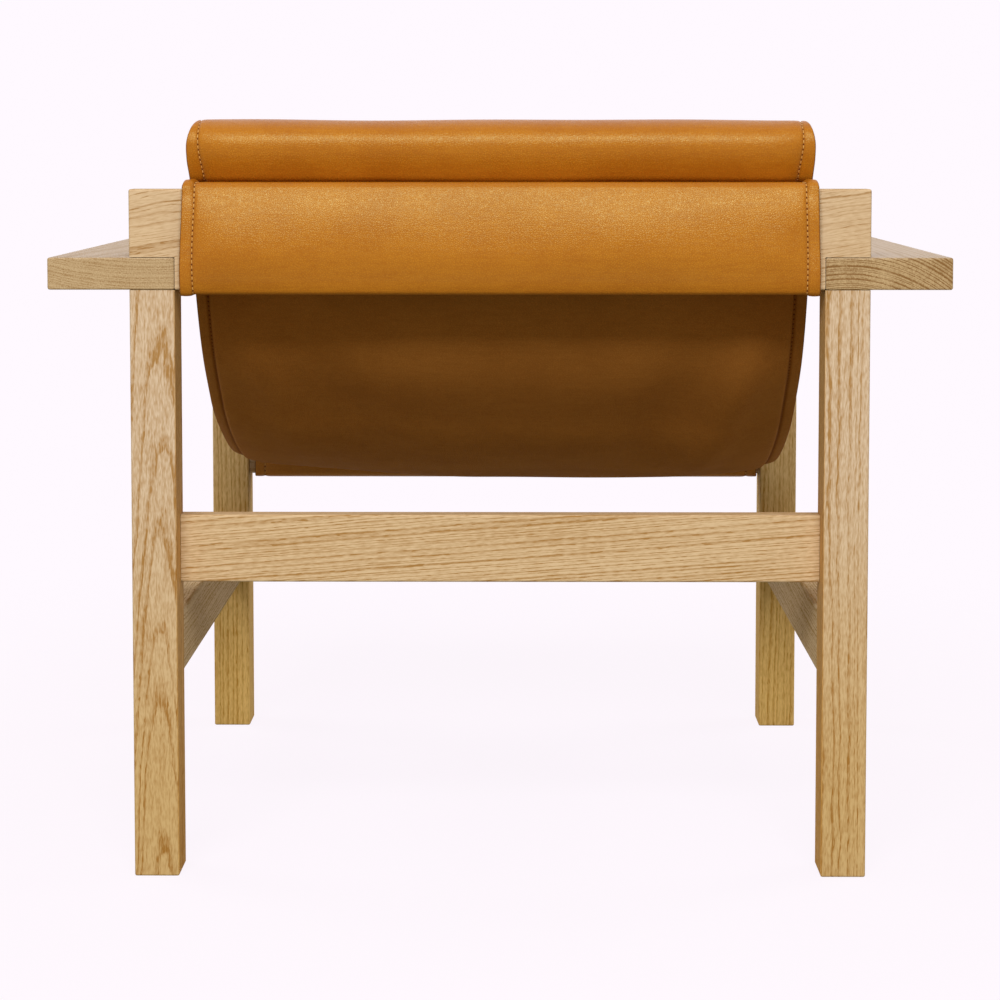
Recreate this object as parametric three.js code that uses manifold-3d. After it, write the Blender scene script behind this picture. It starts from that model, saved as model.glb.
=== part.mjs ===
// Leather sling lounge chair: an ash frame of straight boards with a double leather sling.
// Millimetres, +Z up. The chair faces -Y, the sitter's left is +X,
// and the origin lies on the floor under the middle of the chair.

import * as THREE from 'three';
import { mergeVertices } from 'three/addons/utils/BufferGeometryUtils.js';
import Module from 'manifold-3d';

const wasm = await Module();
wasm.setup();

// Frame
const seatWidth = 575;           // clear width between the legs
const frameDepth = 700;          // rear face of the rear legs to front face of the front legs
const legWidth = 40;
const legDepth = 50;
const legHeight = 526.5;
const armWidth = 112.5;
const armThick = 28.5;
const rearRailRise = 60;         // how far the rear rail stands above the arms
const rearRailThick = 32;
const frontRailFloor = 285.5;    // floor to the underside of the front rail
const frontRailHeight = 60;
const frontRailThick = 28;
const rearStretcherFloor = 262;
const rearStretcherHeight = 61;
const sideStretcherFloor = 178;
const sideStretcherHeight = 58;
const stretcherThick = 22;
const edgeRound = 2;             // eased edges of every board
const endRound = 1.5;            // eased ends of the boards that show them

// Joinery
const fit = 0.3;                 // clearance between pieces that touch
const tenonThick = 10;
const tenonShoulder = 8;
const tenonLength = 25;
const dowelDiameter = 10;
const dowelInLeg = 40;
const dowelInArm = 20;
const dowelInRail = 30;
const rearDowelSpacing = 19;
const frontDowelSpacing = 24;
const dowelSides = 12;

// Leather sling
const slingClearance = 4;        // between each edge of the sling and the legs
const faceThick = 2;
const interlinerThick = 1.2;
const liningThick = 2;
const hemWidth = 15;             // the interliner stops this far inside the sling's edges
const frontFall = 28;            // degrees that the seat falls as it leaves the front rail
const frontReach = 148;
const hipSetback = 223;          // where seat turns into back, ahead of the rear legs' rear face
const hipHeight = 389;
const hipSlope = 34;             // degrees above level
const hipSeatReach = 110;
const hipBackReach = 105;
const backReach = 203;
const seatSag = 10.5;            // the middle hangs this far below the edges
const edgeDrawIn = 6.5;          // and draws each edge in by this much
const sagFlatness = 6;
const foldCrease = 1.2;          // open radius in the crease under the bolster
const frontTailDrop = 8;         // sleeve ends below the top of the front rail
const rearTailDrop = 10;         // and of the rear rail

// Head bolster
const bolsterLength = 62;        // section of the pocket, measured along its lean
const bolsterThick = 34.7;
const bolsterLean = 28.5;        // degrees that the section leans back
const bolsterSetback = 48.8;     // centre, ahead of the rear legs' rear face
const bolsterRise = 34.4;        // centre, above the rear rail
const bolsterEndRound = 6;
const bolsterStep = 15;          // degrees between the facets of the section

// Places that follow from the sizes
const slingWidth = seatWidth - 2 * slingClearance;
const slingThick = liningThick + interlinerThick + faceThick + 2 * fit;
const leatherProud = fit + slingThick;
const rearY = (frameDepth + leatherProud) / 2 - leatherProud;
const legX = (seatWidth + legWidth) / 2;
const rearLegY = rearY - legDepth / 2;
const frontLegY = rearY - frameDepth + legDepth / 2;
const armFloor = legHeight + fit;
const armTop = armFloor + armThick;
const rearRailTop = armTop + fit + rearRailRise;
const rearRailHeight = rearRailTop - armFloor;
const frontRailSetback = frameDepth - (legDepth + frontRailThick) / 2;
const frontRailTop = frontRailFloor + frontRailHeight;
const dowelRadius = dowelDiameter / 2;
const legGap = frameDepth - 2 * legDepth;

// Closed mesh to solid and back
function solid(geometry) {
  const bare = geometry.clone();
  bare.deleteAttribute('normal');
  bare.deleteAttribute('uv');
  const merged = mergeVertices(bare);
  const vertProperties = new Float32Array(merged.attributes.position.array);
  const triVerts = new Uint32Array(merged.index.array);
  return new wasm.Manifold(new wasm.Mesh({ numProp: 3, vertProperties, triVerts }));
}

function surface(body) {
  const mesh = body.getMesh();
  const geometry = new THREE.BufferGeometry();
  geometry.setAttribute('position', new THREE.BufferAttribute(new Float32Array(mesh.vertProperties), 3));
  geometry.setIndex(new THREE.BufferAttribute(new Uint32Array(mesh.triVerts), 1));
  geometry.computeVertexNormals();
  return geometry;
}

// Rounded rectangle, centred
function boardSection(width, height) {
  const x = width / 2 - edgeRound;
  const y = height / 2 - edgeRound;
  const section = new THREE.Shape();
  section.absarc(x, y, edgeRound, 0, Math.PI / 2);
  section.absarc(-x, y, edgeRound, Math.PI / 2, Math.PI);
  section.absarc(-x, -y, edgeRound, Math.PI, 1.5 * Math.PI);
  section.absarc(x, -y, edgeRound, 1.5 * Math.PI, 2 * Math.PI);
  return section;
}

// Straight board along Z, centred, with its ends square or eased like its edges
function board(width, height, length, ease) {
  const geometry = new THREE.ExtrudeGeometry(boardSection(width, height), {
    depth: length - 2 * ease,
    curveSegments: 2,
    bevelEnabled: ease > 0,
    bevelThickness: ease,
    bevelSize: ease,
    bevelOffset: -ease,
    bevelSegments: 2,
  });
  return geometry.translate(0, 0, ease - length / 2);
}

function block(width, depth, height, x, y, z) {
  return solid(new THREE.BoxGeometry(width, depth, height).translate(x, y, z));
}

// Dowel, or the hole for one where a clearance is given
function dowelPin(length, clearance) {
  const pin = new THREE.CylinderGeometry(dowelRadius + clearance, dowelRadius + clearance, length, dowelSides);
  return pin.rotateX(Math.PI / 2);
}

function dowelHole(x, y, bottom, top) {
  return solid(dowelPin(top - bottom, fit).translate(x, y, (top + bottom) / 2));
}

// Where the two dowels of a leg stand, from the middle of the leg
function dowelPlaces(isRear) {
  if (isRear) {
    const y = legDepth / 2 - rearRailThick / 2;
    return [[-rearDowelSpacing / 2, y], [rearDowelSpacing / 2, y]];
  }
  return [[0, -frontDowelSpacing / 2], [0, frontDowelSpacing / 2]];
}

// Leg on its own foot: mortises in the inner face and the face that looks at the other leg
function legGeometry(side, isRear) {
  const spare = 2 * endRound;
  const blank = solid(board(legWidth, legDepth, legHeight + spare, endRound)
    .translate(0, 0, (legHeight + spare) / 2));
  const across = isRear
    ? { floor: rearStretcherFloor, height: rearStretcherHeight, y: (stretcherThick - legDepth) / 2 }
    : { floor: frontRailFloor, height: frontRailHeight, y: 0 };
  const inner = -side * legWidth / 2;
  const facing = (isRear ? -1 : 1) * legDepth / 2;
  const depth = tenonLength + fit;
  const thick = tenonThick + 2 * fit;
  const acrossTall = across.height - 2 * tenonShoulder + 2 * fit;
  const sideTall = sideStretcherHeight - 2 * tenonShoulder + 2 * fit;
  let leg = blank.subtract(block(2 * legWidth, 2 * legDepth, 2 * spare, 0, 0, legHeight + spare));
  leg = leg.subtract(block(2 * depth, thick, acrossTall, inner, across.y, across.floor + across.height / 2));
  leg = leg.subtract(block(thick, 2 * depth, sideTall, -side * (legWidth - stretcherThick) / 2,
    facing, sideStretcherFloor + sideStretcherHeight / 2));
  for (const [x, y] of dowelPlaces(isRear)) {
    leg = leg.subtract(dowelHole(x, y, legHeight - dowelInLeg - fit, legHeight + fit));
  }
  return surface(leg);
}

// Arm with its underside at z = 0 and its inner edge over the legs' inner faces
function armGeometry(side) {
  const blank = board(armWidth, armThick, frameDepth, endRound).rotateX(Math.PI / 2);
  let arm = solid(blank.translate(side * (armWidth - legWidth) / 2, rearY - frameDepth / 2, armThick / 2));
  for (const isRear of [true, false]) {
    const y = isRear ? rearLegY : frontLegY;
    const top = isRear ? armThick + fit : dowelInArm + fit;
    for (const [dx, dy] of dowelPlaces(isRear)) {
      arm = arm.subtract(dowelHole(dx, y + dy, -fit, top));
    }
  }
  return surface(arm);
}

// Rear rail, its ends lapped over the arms above the rear legs
function rearRailGeometry() {
  const length = seatWidth + 2 * legWidth;
  let rail = solid(board(rearRailHeight, rearRailThick, length, endRound).rotateY(Math.PI / 2));
  const lap = legWidth + fit;
  const lapHeight = armThick + fit;
  for (const side of [1, -1]) {
    rail = rail.subtract(block(2 * lap, 2 * rearRailThick, 2 * lapHeight, side * length / 2, 0, -rearRailHeight / 2));
    for (const [dx] of dowelPlaces(true)) {
      const bottom = lapHeight - rearRailHeight / 2;
      rail = rail.subtract(dowelHole(side * legX + dx, 0, bottom - fit, bottom + dowelInRail + fit));
    }
  }
  return surface(rail);
}

// Board along Z with a tenon on both ends
function tenonedGeometry(width, thick, length) {
  const shoulders = length - 2 * fit;
  const tenons = new THREE.BoxGeometry(width - 2 * tenonShoulder, tenonThick, length + 2 * tenonLength);
  return surface(solid(board(width, thick, shoulders, 0)).add(solid(tenons)));
}

// Sling line: a path in the plane of depth (from the rear face of the legs forwards) and height,
// followed by the lining, with the face leather on its right-hand side

// Point of a turn at a heading, the turn's radius counted negative where it turns clockwise
function onTurn(centre, radius, heading) {
  return new THREE.Vector2(centre.x + radius * Math.sin(heading), centre.y - radius * Math.cos(heading));
}

function addTurn(pieces, centre, radius, from, to, steps) {
  const offset = radius > 0 ? -Math.PI / 2 : Math.PI / 2;
  const curve = new THREE.EllipseCurve(centre.x, centre.y, Math.abs(radius), Math.abs(radius),
    from + offset, to + offset, radius < 0);
  pieces.push({ curve, steps });
}

function addLine(pieces, from, to) {
  pieces.push({ curve: new THREE.LineCurve(from, to), steps: 1 });
}

// Middles of the four turns round a rail
function railTurns(setback, thick, floor, top) {
  const back = setback + edgeRound;
  const front = setback + thick - edgeRound;
  return {
    backLow: new THREE.Vector2(back, floor + edgeRound),
    frontLow: new THREE.Vector2(front, floor + edgeRound),
    frontHigh: new THREE.Vector2(front, top - edgeRound),
    backHigh: new THREE.Vector2(back, top - edgeRound),
  };
}

const degrees = THREE.MathUtils.degToRad;
const ahead = degrees(0);
const up = degrees(90);
const rearwards = degrees(180);
const down = degrees(-90);
const cornerSteps = 3;

function slingLine() {
  const turn = edgeRound + fit;
  const front = railTurns(frontRailSetback, frontRailThick, frontRailFloor, frontRailTop);
  const rear = railTurns(0, rearRailThick, armFloor, rearRailTop);
  const lean = degrees(bolsterLean);
  const long = bolsterLength / 2;
  const short = bolsterThick / 2;
  const bolster = new THREE.Vector2(bolsterSetback, rearRailTop + bolsterRise);
  const pieces = [];

  // Sleeve round the front rail, from its hidden end behind the rail
  const frontTail = new THREE.Vector2(front.backLow.x - turn, frontRailTop - frontTailDrop);
  addLine(pieces, frontTail, onTurn(front.backLow, turn, down));
  addTurn(pieces, front.backLow, turn, down, ahead, cornerSteps);
  addLine(pieces, onTurn(front.backLow, turn, ahead), onTurn(front.frontLow, turn, ahead));
  addTurn(pieces, front.frontLow, turn, ahead, up, cornerSteps);
  addLine(pieces, onTurn(front.frontLow, turn, up), onTurn(front.frontHigh, turn, up));
  addTurn(pieces, front.frontHigh, turn, up, rearwards, cornerSteps);
  addLine(pieces, onTurn(front.frontHigh, turn, rearwards), onTurn(front.backHigh, turn, rearwards));
  const fall = rearwards + degrees(frontFall);
  addTurn(pieces, front.backHigh, turn, rearwards, fall, 1);

  // Seat and back, hanging free between the front rail and the bolster
  const seatStart = onTurn(front.backHigh, turn, fall);
  const hip = new THREE.Vector2(hipSetback, hipHeight);
  const climb = rearwards - degrees(hipSlope);
  const towards = (point, heading, reach) => new THREE.Vector2(
    point.x + reach * Math.cos(heading), point.y + reach * Math.sin(heading));
  const frontMost = Math.atan2(short * Math.sin(lean), long * Math.cos(lean));
  const pocket = new THREE.EllipseCurve(bolster.x, bolster.y, long, short,
    frontMost, 1.5 * Math.PI, false, -lean);
  const backEnd = pocket.getPoint(0);
  pieces.push({ curve: new THREE.CubicBezierCurve(seatStart, towards(seatStart, fall, frontReach),
    towards(hip, climb, -hipSeatReach), hip), steps: 10, free: true });
  pieces.push({ curve: new THREE.CubicBezierCurve(hip, towards(hip, climb, hipBackReach),
    towards(backEnd, up, -backReach), backEnd), steps: 9, free: true });

  // Over the bolster and down into the crease, where the pocket is sewn shut
  const pocketSteps = Math.round((1.5 * Math.PI - frontMost) / degrees(bolsterStep));
  pieces.push({ curve: pocket, steps: pocketSteps });
  const fold = -(slingThick + foldCrease);
  const dive = -lean;
  const pocketEnd = pocket.getPoint(1);
  const foldX = backEnd.x - fit + fold;
  const reach = (foldX - pocketEnd.x + fold * Math.sin(dive)) / Math.cos(dive);
  const foldStart = towards(pocketEnd, dive, reach);
  const foldCentre = new THREE.Vector2(foldX, foldStart.y + fold * Math.cos(dive));
  const toRail = new THREE.Vector2().subVectors(rear.frontHigh, foldCentre);
  const rise = toRail.angle() + Math.asin((fold - turn) / toRail.length());
  addLine(pieces, pocketEnd, foldStart);
  addTurn(pieces, foldCentre, fold, dive, rise - 2 * Math.PI, 6);

  // Sleeve round the rear rail, its end hidden in front of the rail
  addLine(pieces, onTurn(foldCentre, fold, rise), onTurn(rear.frontHigh, turn, rise));
  addTurn(pieces, rear.frontHigh, turn, rise, rearwards, 1);
  addLine(pieces, onTurn(rear.frontHigh, turn, rearwards), onTurn(rear.backHigh, turn, rearwards));
  addTurn(pieces, rear.backHigh, turn, rearwards, 2 * Math.PI + down, cornerSteps);
  addLine(pieces, onTurn(rear.backHigh, turn, down), onTurn(rear.backLow, turn, down));
  addTurn(pieces, rear.backLow, turn, down, ahead, cornerSteps);
  addLine(pieces, onTurn(rear.backLow, turn, ahead), onTurn(rear.frontLow, turn, ahead));
  addTurn(pieces, rear.frontLow, turn, ahead, up, cornerSteps);
  const rearTail = new THREE.Vector2(rear.frontLow.x + turn, rearRailTop - rearTailDrop);
  addLine(pieces, onTurn(rear.frontLow, turn, up), rearTail);
  return { pieces, bolster, long, short, lean, frontMost };
}

// Stations along the line: depth, height, face direction and the share of the sag there
function slingStations(pieces) {
  const freeLength = pieces.reduce((sum, piece) => sum + (piece.free ? piece.curve.getLength() : 0), 0);
  const stations = [];
  let travelled = 0;
  pieces.forEach((piece, number) => {
    const length = piece.curve.getLength();
    for (let step = number === 0 ? 0 : 1; step <= piece.steps; step += 1) {
      const t = step / piece.steps;
      const point = piece.curve.getPoint(t);
      const heading = piece.curve.getTangent(t);
      const share = piece.free ? (travelled + t * length) / freeLength : 0;
      stations.push({
        depth: point.x,
        height: point.y,
        faceDepth: heading.y,
        faceHeight: -heading.x,
        hang: piece.free ? Math.sin(Math.PI * share) : 0,
      });
    }
    travelled += piece.free ? length : 0;
  });
  return stations;
}

// One layer of the sling between two distances from the lining's inner side
function layerGeometry(stations, inner, outer, columns) {
  const points = [];
  const faces = [];
  const count = columns.length;
  const ring = 2 * count;
  const place = (station, column, distance) => {
    const sag = seatSag * station.hang * (1 - Math.abs(column) ** sagFlatness);
    const offset = distance - sag;
    points.push(column * (slingWidth / 2 - edgeDrawIn * station.hang ** 2),
      rearY - station.depth - station.faceDepth * offset,
      station.height + station.faceHeight * offset);
  };
  for (const station of stations) {
    columns.forEach((column) => place(station, column, outer));
    [...columns].reverse().forEach((column) => place(station, column, inner));
  }
  const quad = (a, b, c, d) => faces.push(a, b, c, a, c, d);
  for (let row = 0; row < stations.length - 1; row += 1) {
    const near = row * ring;
    const far = near + ring;
    for (let side = 0; side < ring; side += 1) {
      const next = (side + 1) % ring;
      if (side < count) {
        quad(near + side, near + next, far + next, far + side);
      } else {
        quad(near + next, far + next, far + side, near + side);
      }
    }
  }
  const last = (stations.length - 1) * ring;
  for (let column = 0; column < count - 1; column += 1) {
    const opposite = ring - 1 - column;
    quad(column, opposite, opposite - 1, column + 1);
    quad(last + column, last + column + 1, last + opposite - 1, last + opposite);
  }
  const geometry = new THREE.BufferGeometry();
  geometry.setAttribute('position', new THREE.Float32BufferAttribute(points, 3));
  geometry.setIndex(faces);
  geometry.computeVertexNormals();
  return geometry;
}

// Foam core of the bolster, its section facing the same way as the pocket's facets
function bolsterGeometry({ bolster, long, short, lean, frontMost }) {
  const facets = Math.round(360 / bolsterStep);
  const outline = new THREE.EllipseCurve(bolster.x, bolster.y, long - fit, short - fit,
    frontMost, frontMost + 2 * Math.PI, false, -lean).getPoints(facets);
  const width = slingWidth - 2 * hemWidth;
  const geometry = new THREE.ExtrudeGeometry(new THREE.Shape(outline.slice(0, facets)), {
    depth: width - 2 * bolsterEndRound,
    bevelThickness: bolsterEndRound,
    bevelSize: bolsterEndRound,
    bevelOffset: -bolsterEndRound,
    bevelSegments: 2,
  });
  const turned = new THREE.Matrix4().set(
    0, 0, -1, width / 2 - bolsterEndRound,
    -1, 0, 0, rearY,
    0, 1, 0, 0,
    0, 0, 0, 1);
  return geometry.applyMatrix4(turned);
}

// The chair
const chair = new THREE.Group();

function place(name, geometry, look, x = 0, y = 0, z = 0) {
  const mesh = new THREE.Mesh(geometry, new THREE.MeshStandardMaterial(look));
  mesh.name = name;
  mesh.position.set(x, y, z);
  chair.add(mesh);
  return mesh;
}

const ash = { color: 0xcba77c, roughness: 0.55, metalness: 0 };
const beech = { color: 0xc9a070, roughness: 0.6, metalness: 0 };
const faceLeather = { color: 0xb8761f, roughness: 0.45, metalness: 0 };
const liningLeather = { color: 0x9a5c1c, roughness: 0.6, metalness: 0 };
const interliner = { color: 0xd8d2c4, roughness: 0.95, metalness: 0 };
const foam = { color: 0xe6dcc0, roughness: 1, metalness: 0 };

const sides = { left: 1, right: -1 };
for (const [sideName, side] of Object.entries(sides)) {
  for (const endName of ['rear', 'front']) {
    const isRear = endName === 'rear';
    const legY = isRear ? rearLegY : frontLegY;
    place(`${endName}_${sideName}_leg`, legGeometry(side, isRear), ash, side * legX, legY, 0);
    const bottom = legHeight - dowelInLeg;
    const top = isRear ? armTop + fit + dowelInRail : armFloor + dowelInArm;
    dowelPlaces(isRear).forEach(([dx, dy], number) => {
      place(`${endName}_${sideName}_dowel_${number + 1}`, dowelPin(top - bottom, 0), beech,
        side * legX + dx, legY + dy, (top + bottom) / 2);
    });
  }
  place(`${sideName}_arm`, armGeometry(side), ash, side * legX, 0, armFloor);
  place(`${sideName}_side_stretcher`,
    tenonedGeometry(sideStretcherHeight, stretcherThick, legGap).rotateX(Math.PI / 2).rotateY(Math.PI / 2), ash,
    side * (seatWidth + stretcherThick) / 2, rearY - frameDepth / 2, sideStretcherFloor + sideStretcherHeight / 2);
}

place('rear_rail', rearRailGeometry(), ash, 0, rearY - rearRailThick / 2, armFloor + rearRailHeight / 2);
place('rear_stretcher', tenonedGeometry(rearStretcherHeight, stretcherThick, seatWidth).rotateY(Math.PI / 2), ash,
  0, rearY - legDepth + stretcherThick / 2, rearStretcherFloor + rearStretcherHeight / 2);
place('front_rail', tenonedGeometry(frontRailHeight, frontRailThick, seatWidth).rotateY(Math.PI / 2), ash,
  0, frontLegY, frontRailFloor + frontRailHeight / 2);

const sling = slingLine();
const stations = slingStations(sling.pieces);
const hemColumn = 1 - 2 * hemWidth / slingWidth;
const columns = [-1, -hemColumn, -0.78, -0.4, 0.4, 0.78, hemColumn, 1];
const interlinerInner = liningThick + fit;
const faceInner = interlinerInner + interlinerThick + fit;
place('sling_lining_leather', layerGeometry(stations, 0, liningThick, columns), liningLeather);
place('sling_interliner', layerGeometry(stations, interlinerInner, interlinerInner + interlinerThick,
  columns.slice(1, -1)), interliner);
place('sling_face_leather', layerGeometry(stations, faceInner, slingThick, columns), faceLeather);
place('bolster_foam', bolsterGeometry(sling), foam);

export default chair;
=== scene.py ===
# %% [markdown]
# # Leather sling lounge chair
# The chair is a frame of straight ash boards with one long leather sling. The sling is a sleeve round
# the front rail, the seat, the back, a head bolster and a sleeve round the rear rail, all in one strip.
# The boards come from the CAD frame and only need wood. The leather is worked out here as surfaces.

# %% Load the frame
import math
import bpy
import numpy as np
from mathutils import Euler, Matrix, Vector


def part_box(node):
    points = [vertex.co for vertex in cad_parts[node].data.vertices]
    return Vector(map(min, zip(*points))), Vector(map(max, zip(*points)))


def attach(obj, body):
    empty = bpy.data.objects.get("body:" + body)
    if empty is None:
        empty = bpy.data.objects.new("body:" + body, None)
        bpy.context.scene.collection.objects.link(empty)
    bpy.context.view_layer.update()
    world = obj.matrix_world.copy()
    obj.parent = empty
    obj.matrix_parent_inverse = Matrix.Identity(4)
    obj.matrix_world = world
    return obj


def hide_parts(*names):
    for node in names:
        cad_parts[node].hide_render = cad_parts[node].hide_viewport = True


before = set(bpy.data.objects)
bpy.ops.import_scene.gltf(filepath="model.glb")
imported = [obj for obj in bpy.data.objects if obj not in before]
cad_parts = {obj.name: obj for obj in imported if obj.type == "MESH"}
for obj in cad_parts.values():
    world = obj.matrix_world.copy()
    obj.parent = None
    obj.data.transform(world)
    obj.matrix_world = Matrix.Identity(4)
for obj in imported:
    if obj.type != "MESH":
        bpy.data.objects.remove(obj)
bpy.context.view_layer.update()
MM = 0.001

# %% [markdown]
# ## Camera
# The chair is seen from behind, with its upright edges nearly parallel. A level camera with a large lens
# shift would give that. Here a small tilt takes the place of part of the shift, so that the chair also
# stays in the frame when it is seen from other sides.

# %% Camera
CAMERA_PLACE = (-0.0194, 2.7908, 0.6541)
CAMERA_DROP, CAMERA_TURN = 4.223, 180.448


def add_object(name, data):
    """Object of a mesh, lamp or camera, put into the scene."""
    made = bpy.data.objects.new(name, data)
    bpy.context.scene.collection.objects.link(made)
    return made


camera_data = bpy.data.cameras.new("studio_camera")
camera_data.lens = 99.76
camera_data.sensor_width = 36.0
camera_data.shift_y = -0.15
camera = add_object("studio_camera", camera_data)
camera.location = CAMERA_PLACE
camera.rotation_euler = (math.radians(90 - CAMERA_DROP), 0.0, math.radians(CAMERA_TURN))
bpy.context.scene.camera = camera
print("camera at", CAMERA_PLACE, "lens", round(camera_data.lens, 2))

# %% [markdown]
# ## Studio
# A product picture has a white ground and soft light. The ground could be lit until it is white, but the
# chair would then be too bright. Here it is white only for what the camera, gloss or glass sees. Diffuse
# light meets a greyer floor, so the underside of the seat keeps its depth.

# %% Wires between nodes
class Wire:
    """A node's output to reckon with: each sign between a wire and a wire or number adds a Math node."""

    def __init__(self, socket):
        self.socket = socket
        self.tree = socket.id_data

    def maths(self, operation, *others):
        """Math node whose first input is this wire."""
        return wire_up(self.tree, "ShaderNodeMath", self, *others, operation=operation)

    def __add__(self, other):
        return self.maths("ADD", other)

    def __sub__(self, other):
        return self.maths("SUBTRACT", other)

    def __rsub__(self, number):
        return wire_up(self.tree, "ShaderNodeMath", number, self, operation="SUBTRACT")

    def __mul__(self, other):
        return self.maths("MULTIPLY", other)

    def __truediv__(self, other):
        return self.maths("DIVIDE", other)


def feed(socket, value):
    """Links a wire to an input, or sets the input's own value."""
    if isinstance(value, Wire):
        value.tree.links.new(value.socket, socket)
    else:
        socket.default_value = value


# %% Nodes
def node(tree, kind, **values):
    """One shader node, with attributes and, for keys that name a socket, its default value."""
    made = tree.nodes.new(kind)
    for key, value in values.items():
        if hasattr(made, key):
            setattr(made, key, value)
        else:
            made.inputs[key.replace("_", " ")].default_value = value
    return made


def wire_up(tree, kind, *given, output=0, **values):
    """One shader node with its inputs fed in their order. Returns one of its outputs as a wire."""
    made = node(tree, kind, **values)
    for socket, value in zip(made.inputs, given):
        feed(socket, value)
    return Wire(made.outputs[output])


def outputs_of(made):
    """All outputs of a node as wires, by their names."""
    return {socket.name: Wire(socket) for socket in made.outputs}


# %% Floor
FLOOR_HALF = 30.0

floor_corners = [(x * FLOOR_HALF, y * FLOOR_HALF, 0) for x, y in ((-1, -1), (1, -1), (1, 1), (-1, 1))]
floor_mesh = bpy.data.meshes.new("studio_floor")
floor_mesh.from_pydata(floor_corners, [], [(0, 1, 2, 3)])
floor = add_object("studio_floor", floor_mesh)
print("floor", 2 * FLOOR_HALF, "m wide")

# %% White ground with a soft shadow
WHITE_GROUND = (1.0, 0.945, 1.0, 1.0)
FLOOR_BOUNCE = (0.260, 0.270, 0.210, 1.0)
SHADOW_SHARE, SHADOW_NEAR, SHADOW_FAR = 0.08, 0.5, 1.6


def step_node(wire, low, high, to_low=0.0, to_high=1.0):
    """Smooth Map Range of a wire from low..high to to_low..to_high."""
    return wire_up(wire.tree, "ShaderNodeMapRange", wire, low, high, to_low, to_high,
                   interpolation_type="SMOOTHSTEP")


def seen_directly(tree):
    """1 for rays from the camera, from gloss or through glass, else 0: the largest of the three."""
    path = outputs_of(node(tree, "ShaderNodeLightPath"))
    seen = path["Is Camera Ray"].maths("MAXIMUM", path["Is Glossy Ray"])
    return seen.maths("MAXIMUM", path["Is Transmission Ray"])


floor_look = bpy.data.materials.new("studio_floor")
floor_look.use_nodes = True
tree = floor_look.node_tree
tree.nodes.clear()
where = outputs_of(node(tree, "ShaderNodeTexCoord"))
away = wire_up(tree, "ShaderNodeVectorMath", where["Object"], operation="LENGTH", output="Value")
near = step_node(away, SHADOW_NEAR, SHADOW_FAR, to_low=SHADOW_SHARE, to_high=0.0)
white = wire_up(tree, "ShaderNodeEmission", WHITE_GROUND, 1.0)
shaded = wire_up(tree, "ShaderNodeBsdfDiffuse", WHITE_GROUND)
bounce = wire_up(tree, "ShaderNodeBsdfDiffuse", FLOOR_BOUNCE)
ground = wire_up(tree, "ShaderNodeMixShader", near, white, shaded)
ground = wire_up(tree, "ShaderNodeMixShader", seen_directly(tree), bounce, ground)
feed(node(tree, "ShaderNodeOutputMaterial").inputs["Surface"], ground)
floor_mesh.materials.append(floor_look)
print("ground shaded up to", SHADOW_FAR, "m away")

# %% World
ROOM_LIGHT, ROOM_STRENGTH = (1.0, 0.86, 0.64, 1.0), 0.315

world = bpy.data.worlds.new("studio")
bpy.context.scene.world = world
world.use_nodes = True
tree = world.node_tree
tree.nodes.clear()
white = wire_up(tree, "ShaderNodeBackground", WHITE_GROUND, 1.0)
room = wire_up(tree, "ShaderNodeBackground", ROOM_LIGHT, ROOM_STRENGTH)
around = wire_up(tree, "ShaderNodeMixShader", seen_directly(tree), room, white)
feed(node(tree, "ShaderNodeOutputWorld").inputs["Surface"], around)
bpy.context.scene.view_settings.view_transform = "Standard"
print("room light", ROOM_STRENGTH)

# %% Lamps
def soft_lamp(name, place, target, size, power):
    """A rectangular area lamp at a place, turned to a target."""
    data = bpy.data.lights.new(name, "AREA")
    data.shape = "RECTANGLE"
    data.size, data.size_y = size
    data.energy = power
    lamp = add_object(name, data)
    lamp.location = place
    aim = Vector(target) - Vector(place)
    lamp.rotation_euler = aim.to_track_quat("-Z", "Y").to_euler()
    print(name, power, "W")


soft_lamp("key_lamp", place=(0.2, 4.5, 3.15), target=(0.0, 0.2, 0.45), size=(3.2, 1.5), power=228.0)
for lamp_name, lamp_x in (("left_lamp", 2.9), ("right_lamp", -2.9)):
    soft_lamp(lamp_name, place=(lamp_x, -1.3, 1.6), target=(0.0, -0.1, 0.35), size=(1.6, 1.6), power=34.0)

# %% [markdown]
# ## The line that the sling follows
# Seen from the side, the sling is a line: round the front rail, along the seat, up the back, over the
# bolster, into a crease and round the rear rail. It could be drawn as a curve object, but as arrays of
# points the leather's layers, hems and stitches can all be measured from it. Depth runs forwards from
# the rear face of the legs, height runs up, and the face leather lies to the right of the travel.

# %% Rails that carry the sling
REAR_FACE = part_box("rear_left_leg")[1][1]
FRONT_RAIL_TOP, REAR_RAIL_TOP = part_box("front_rail")[1][2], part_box("rear_rail")[1][2]
SLING_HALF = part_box("sling_face_leather")[1][0]
SLING_THICK = 5.8 * MM
FIT = 0.3 * MM
EDGE_ROUND = 2.0 * MM
CORNER = EDGE_ROUND + FIT


def rail_corners(name):
    """Middles of a rail's four eased edges, as (depth, height): its box drawn in by the edges' radius."""
    low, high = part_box(name)
    back, front = REAR_FACE - high[1] + EDGE_ROUND, REAR_FACE - low[1] - EDGE_ROUND
    under, top = low[2] + EDGE_ROUND, high[2] - EDGE_ROUND
    return {"back_low": (back, under), "front_low": (front, under),
            "front_high": (front, top), "back_high": (back, top)}


front_rail, rear_rail = rail_corners("front_rail"), rail_corners("rear_rail")
print("strip half", round(SLING_HALF, 4), "rail tops", round(FRONT_RAIL_TOP, 4), round(REAR_RAIL_TOP, 4))

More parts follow.
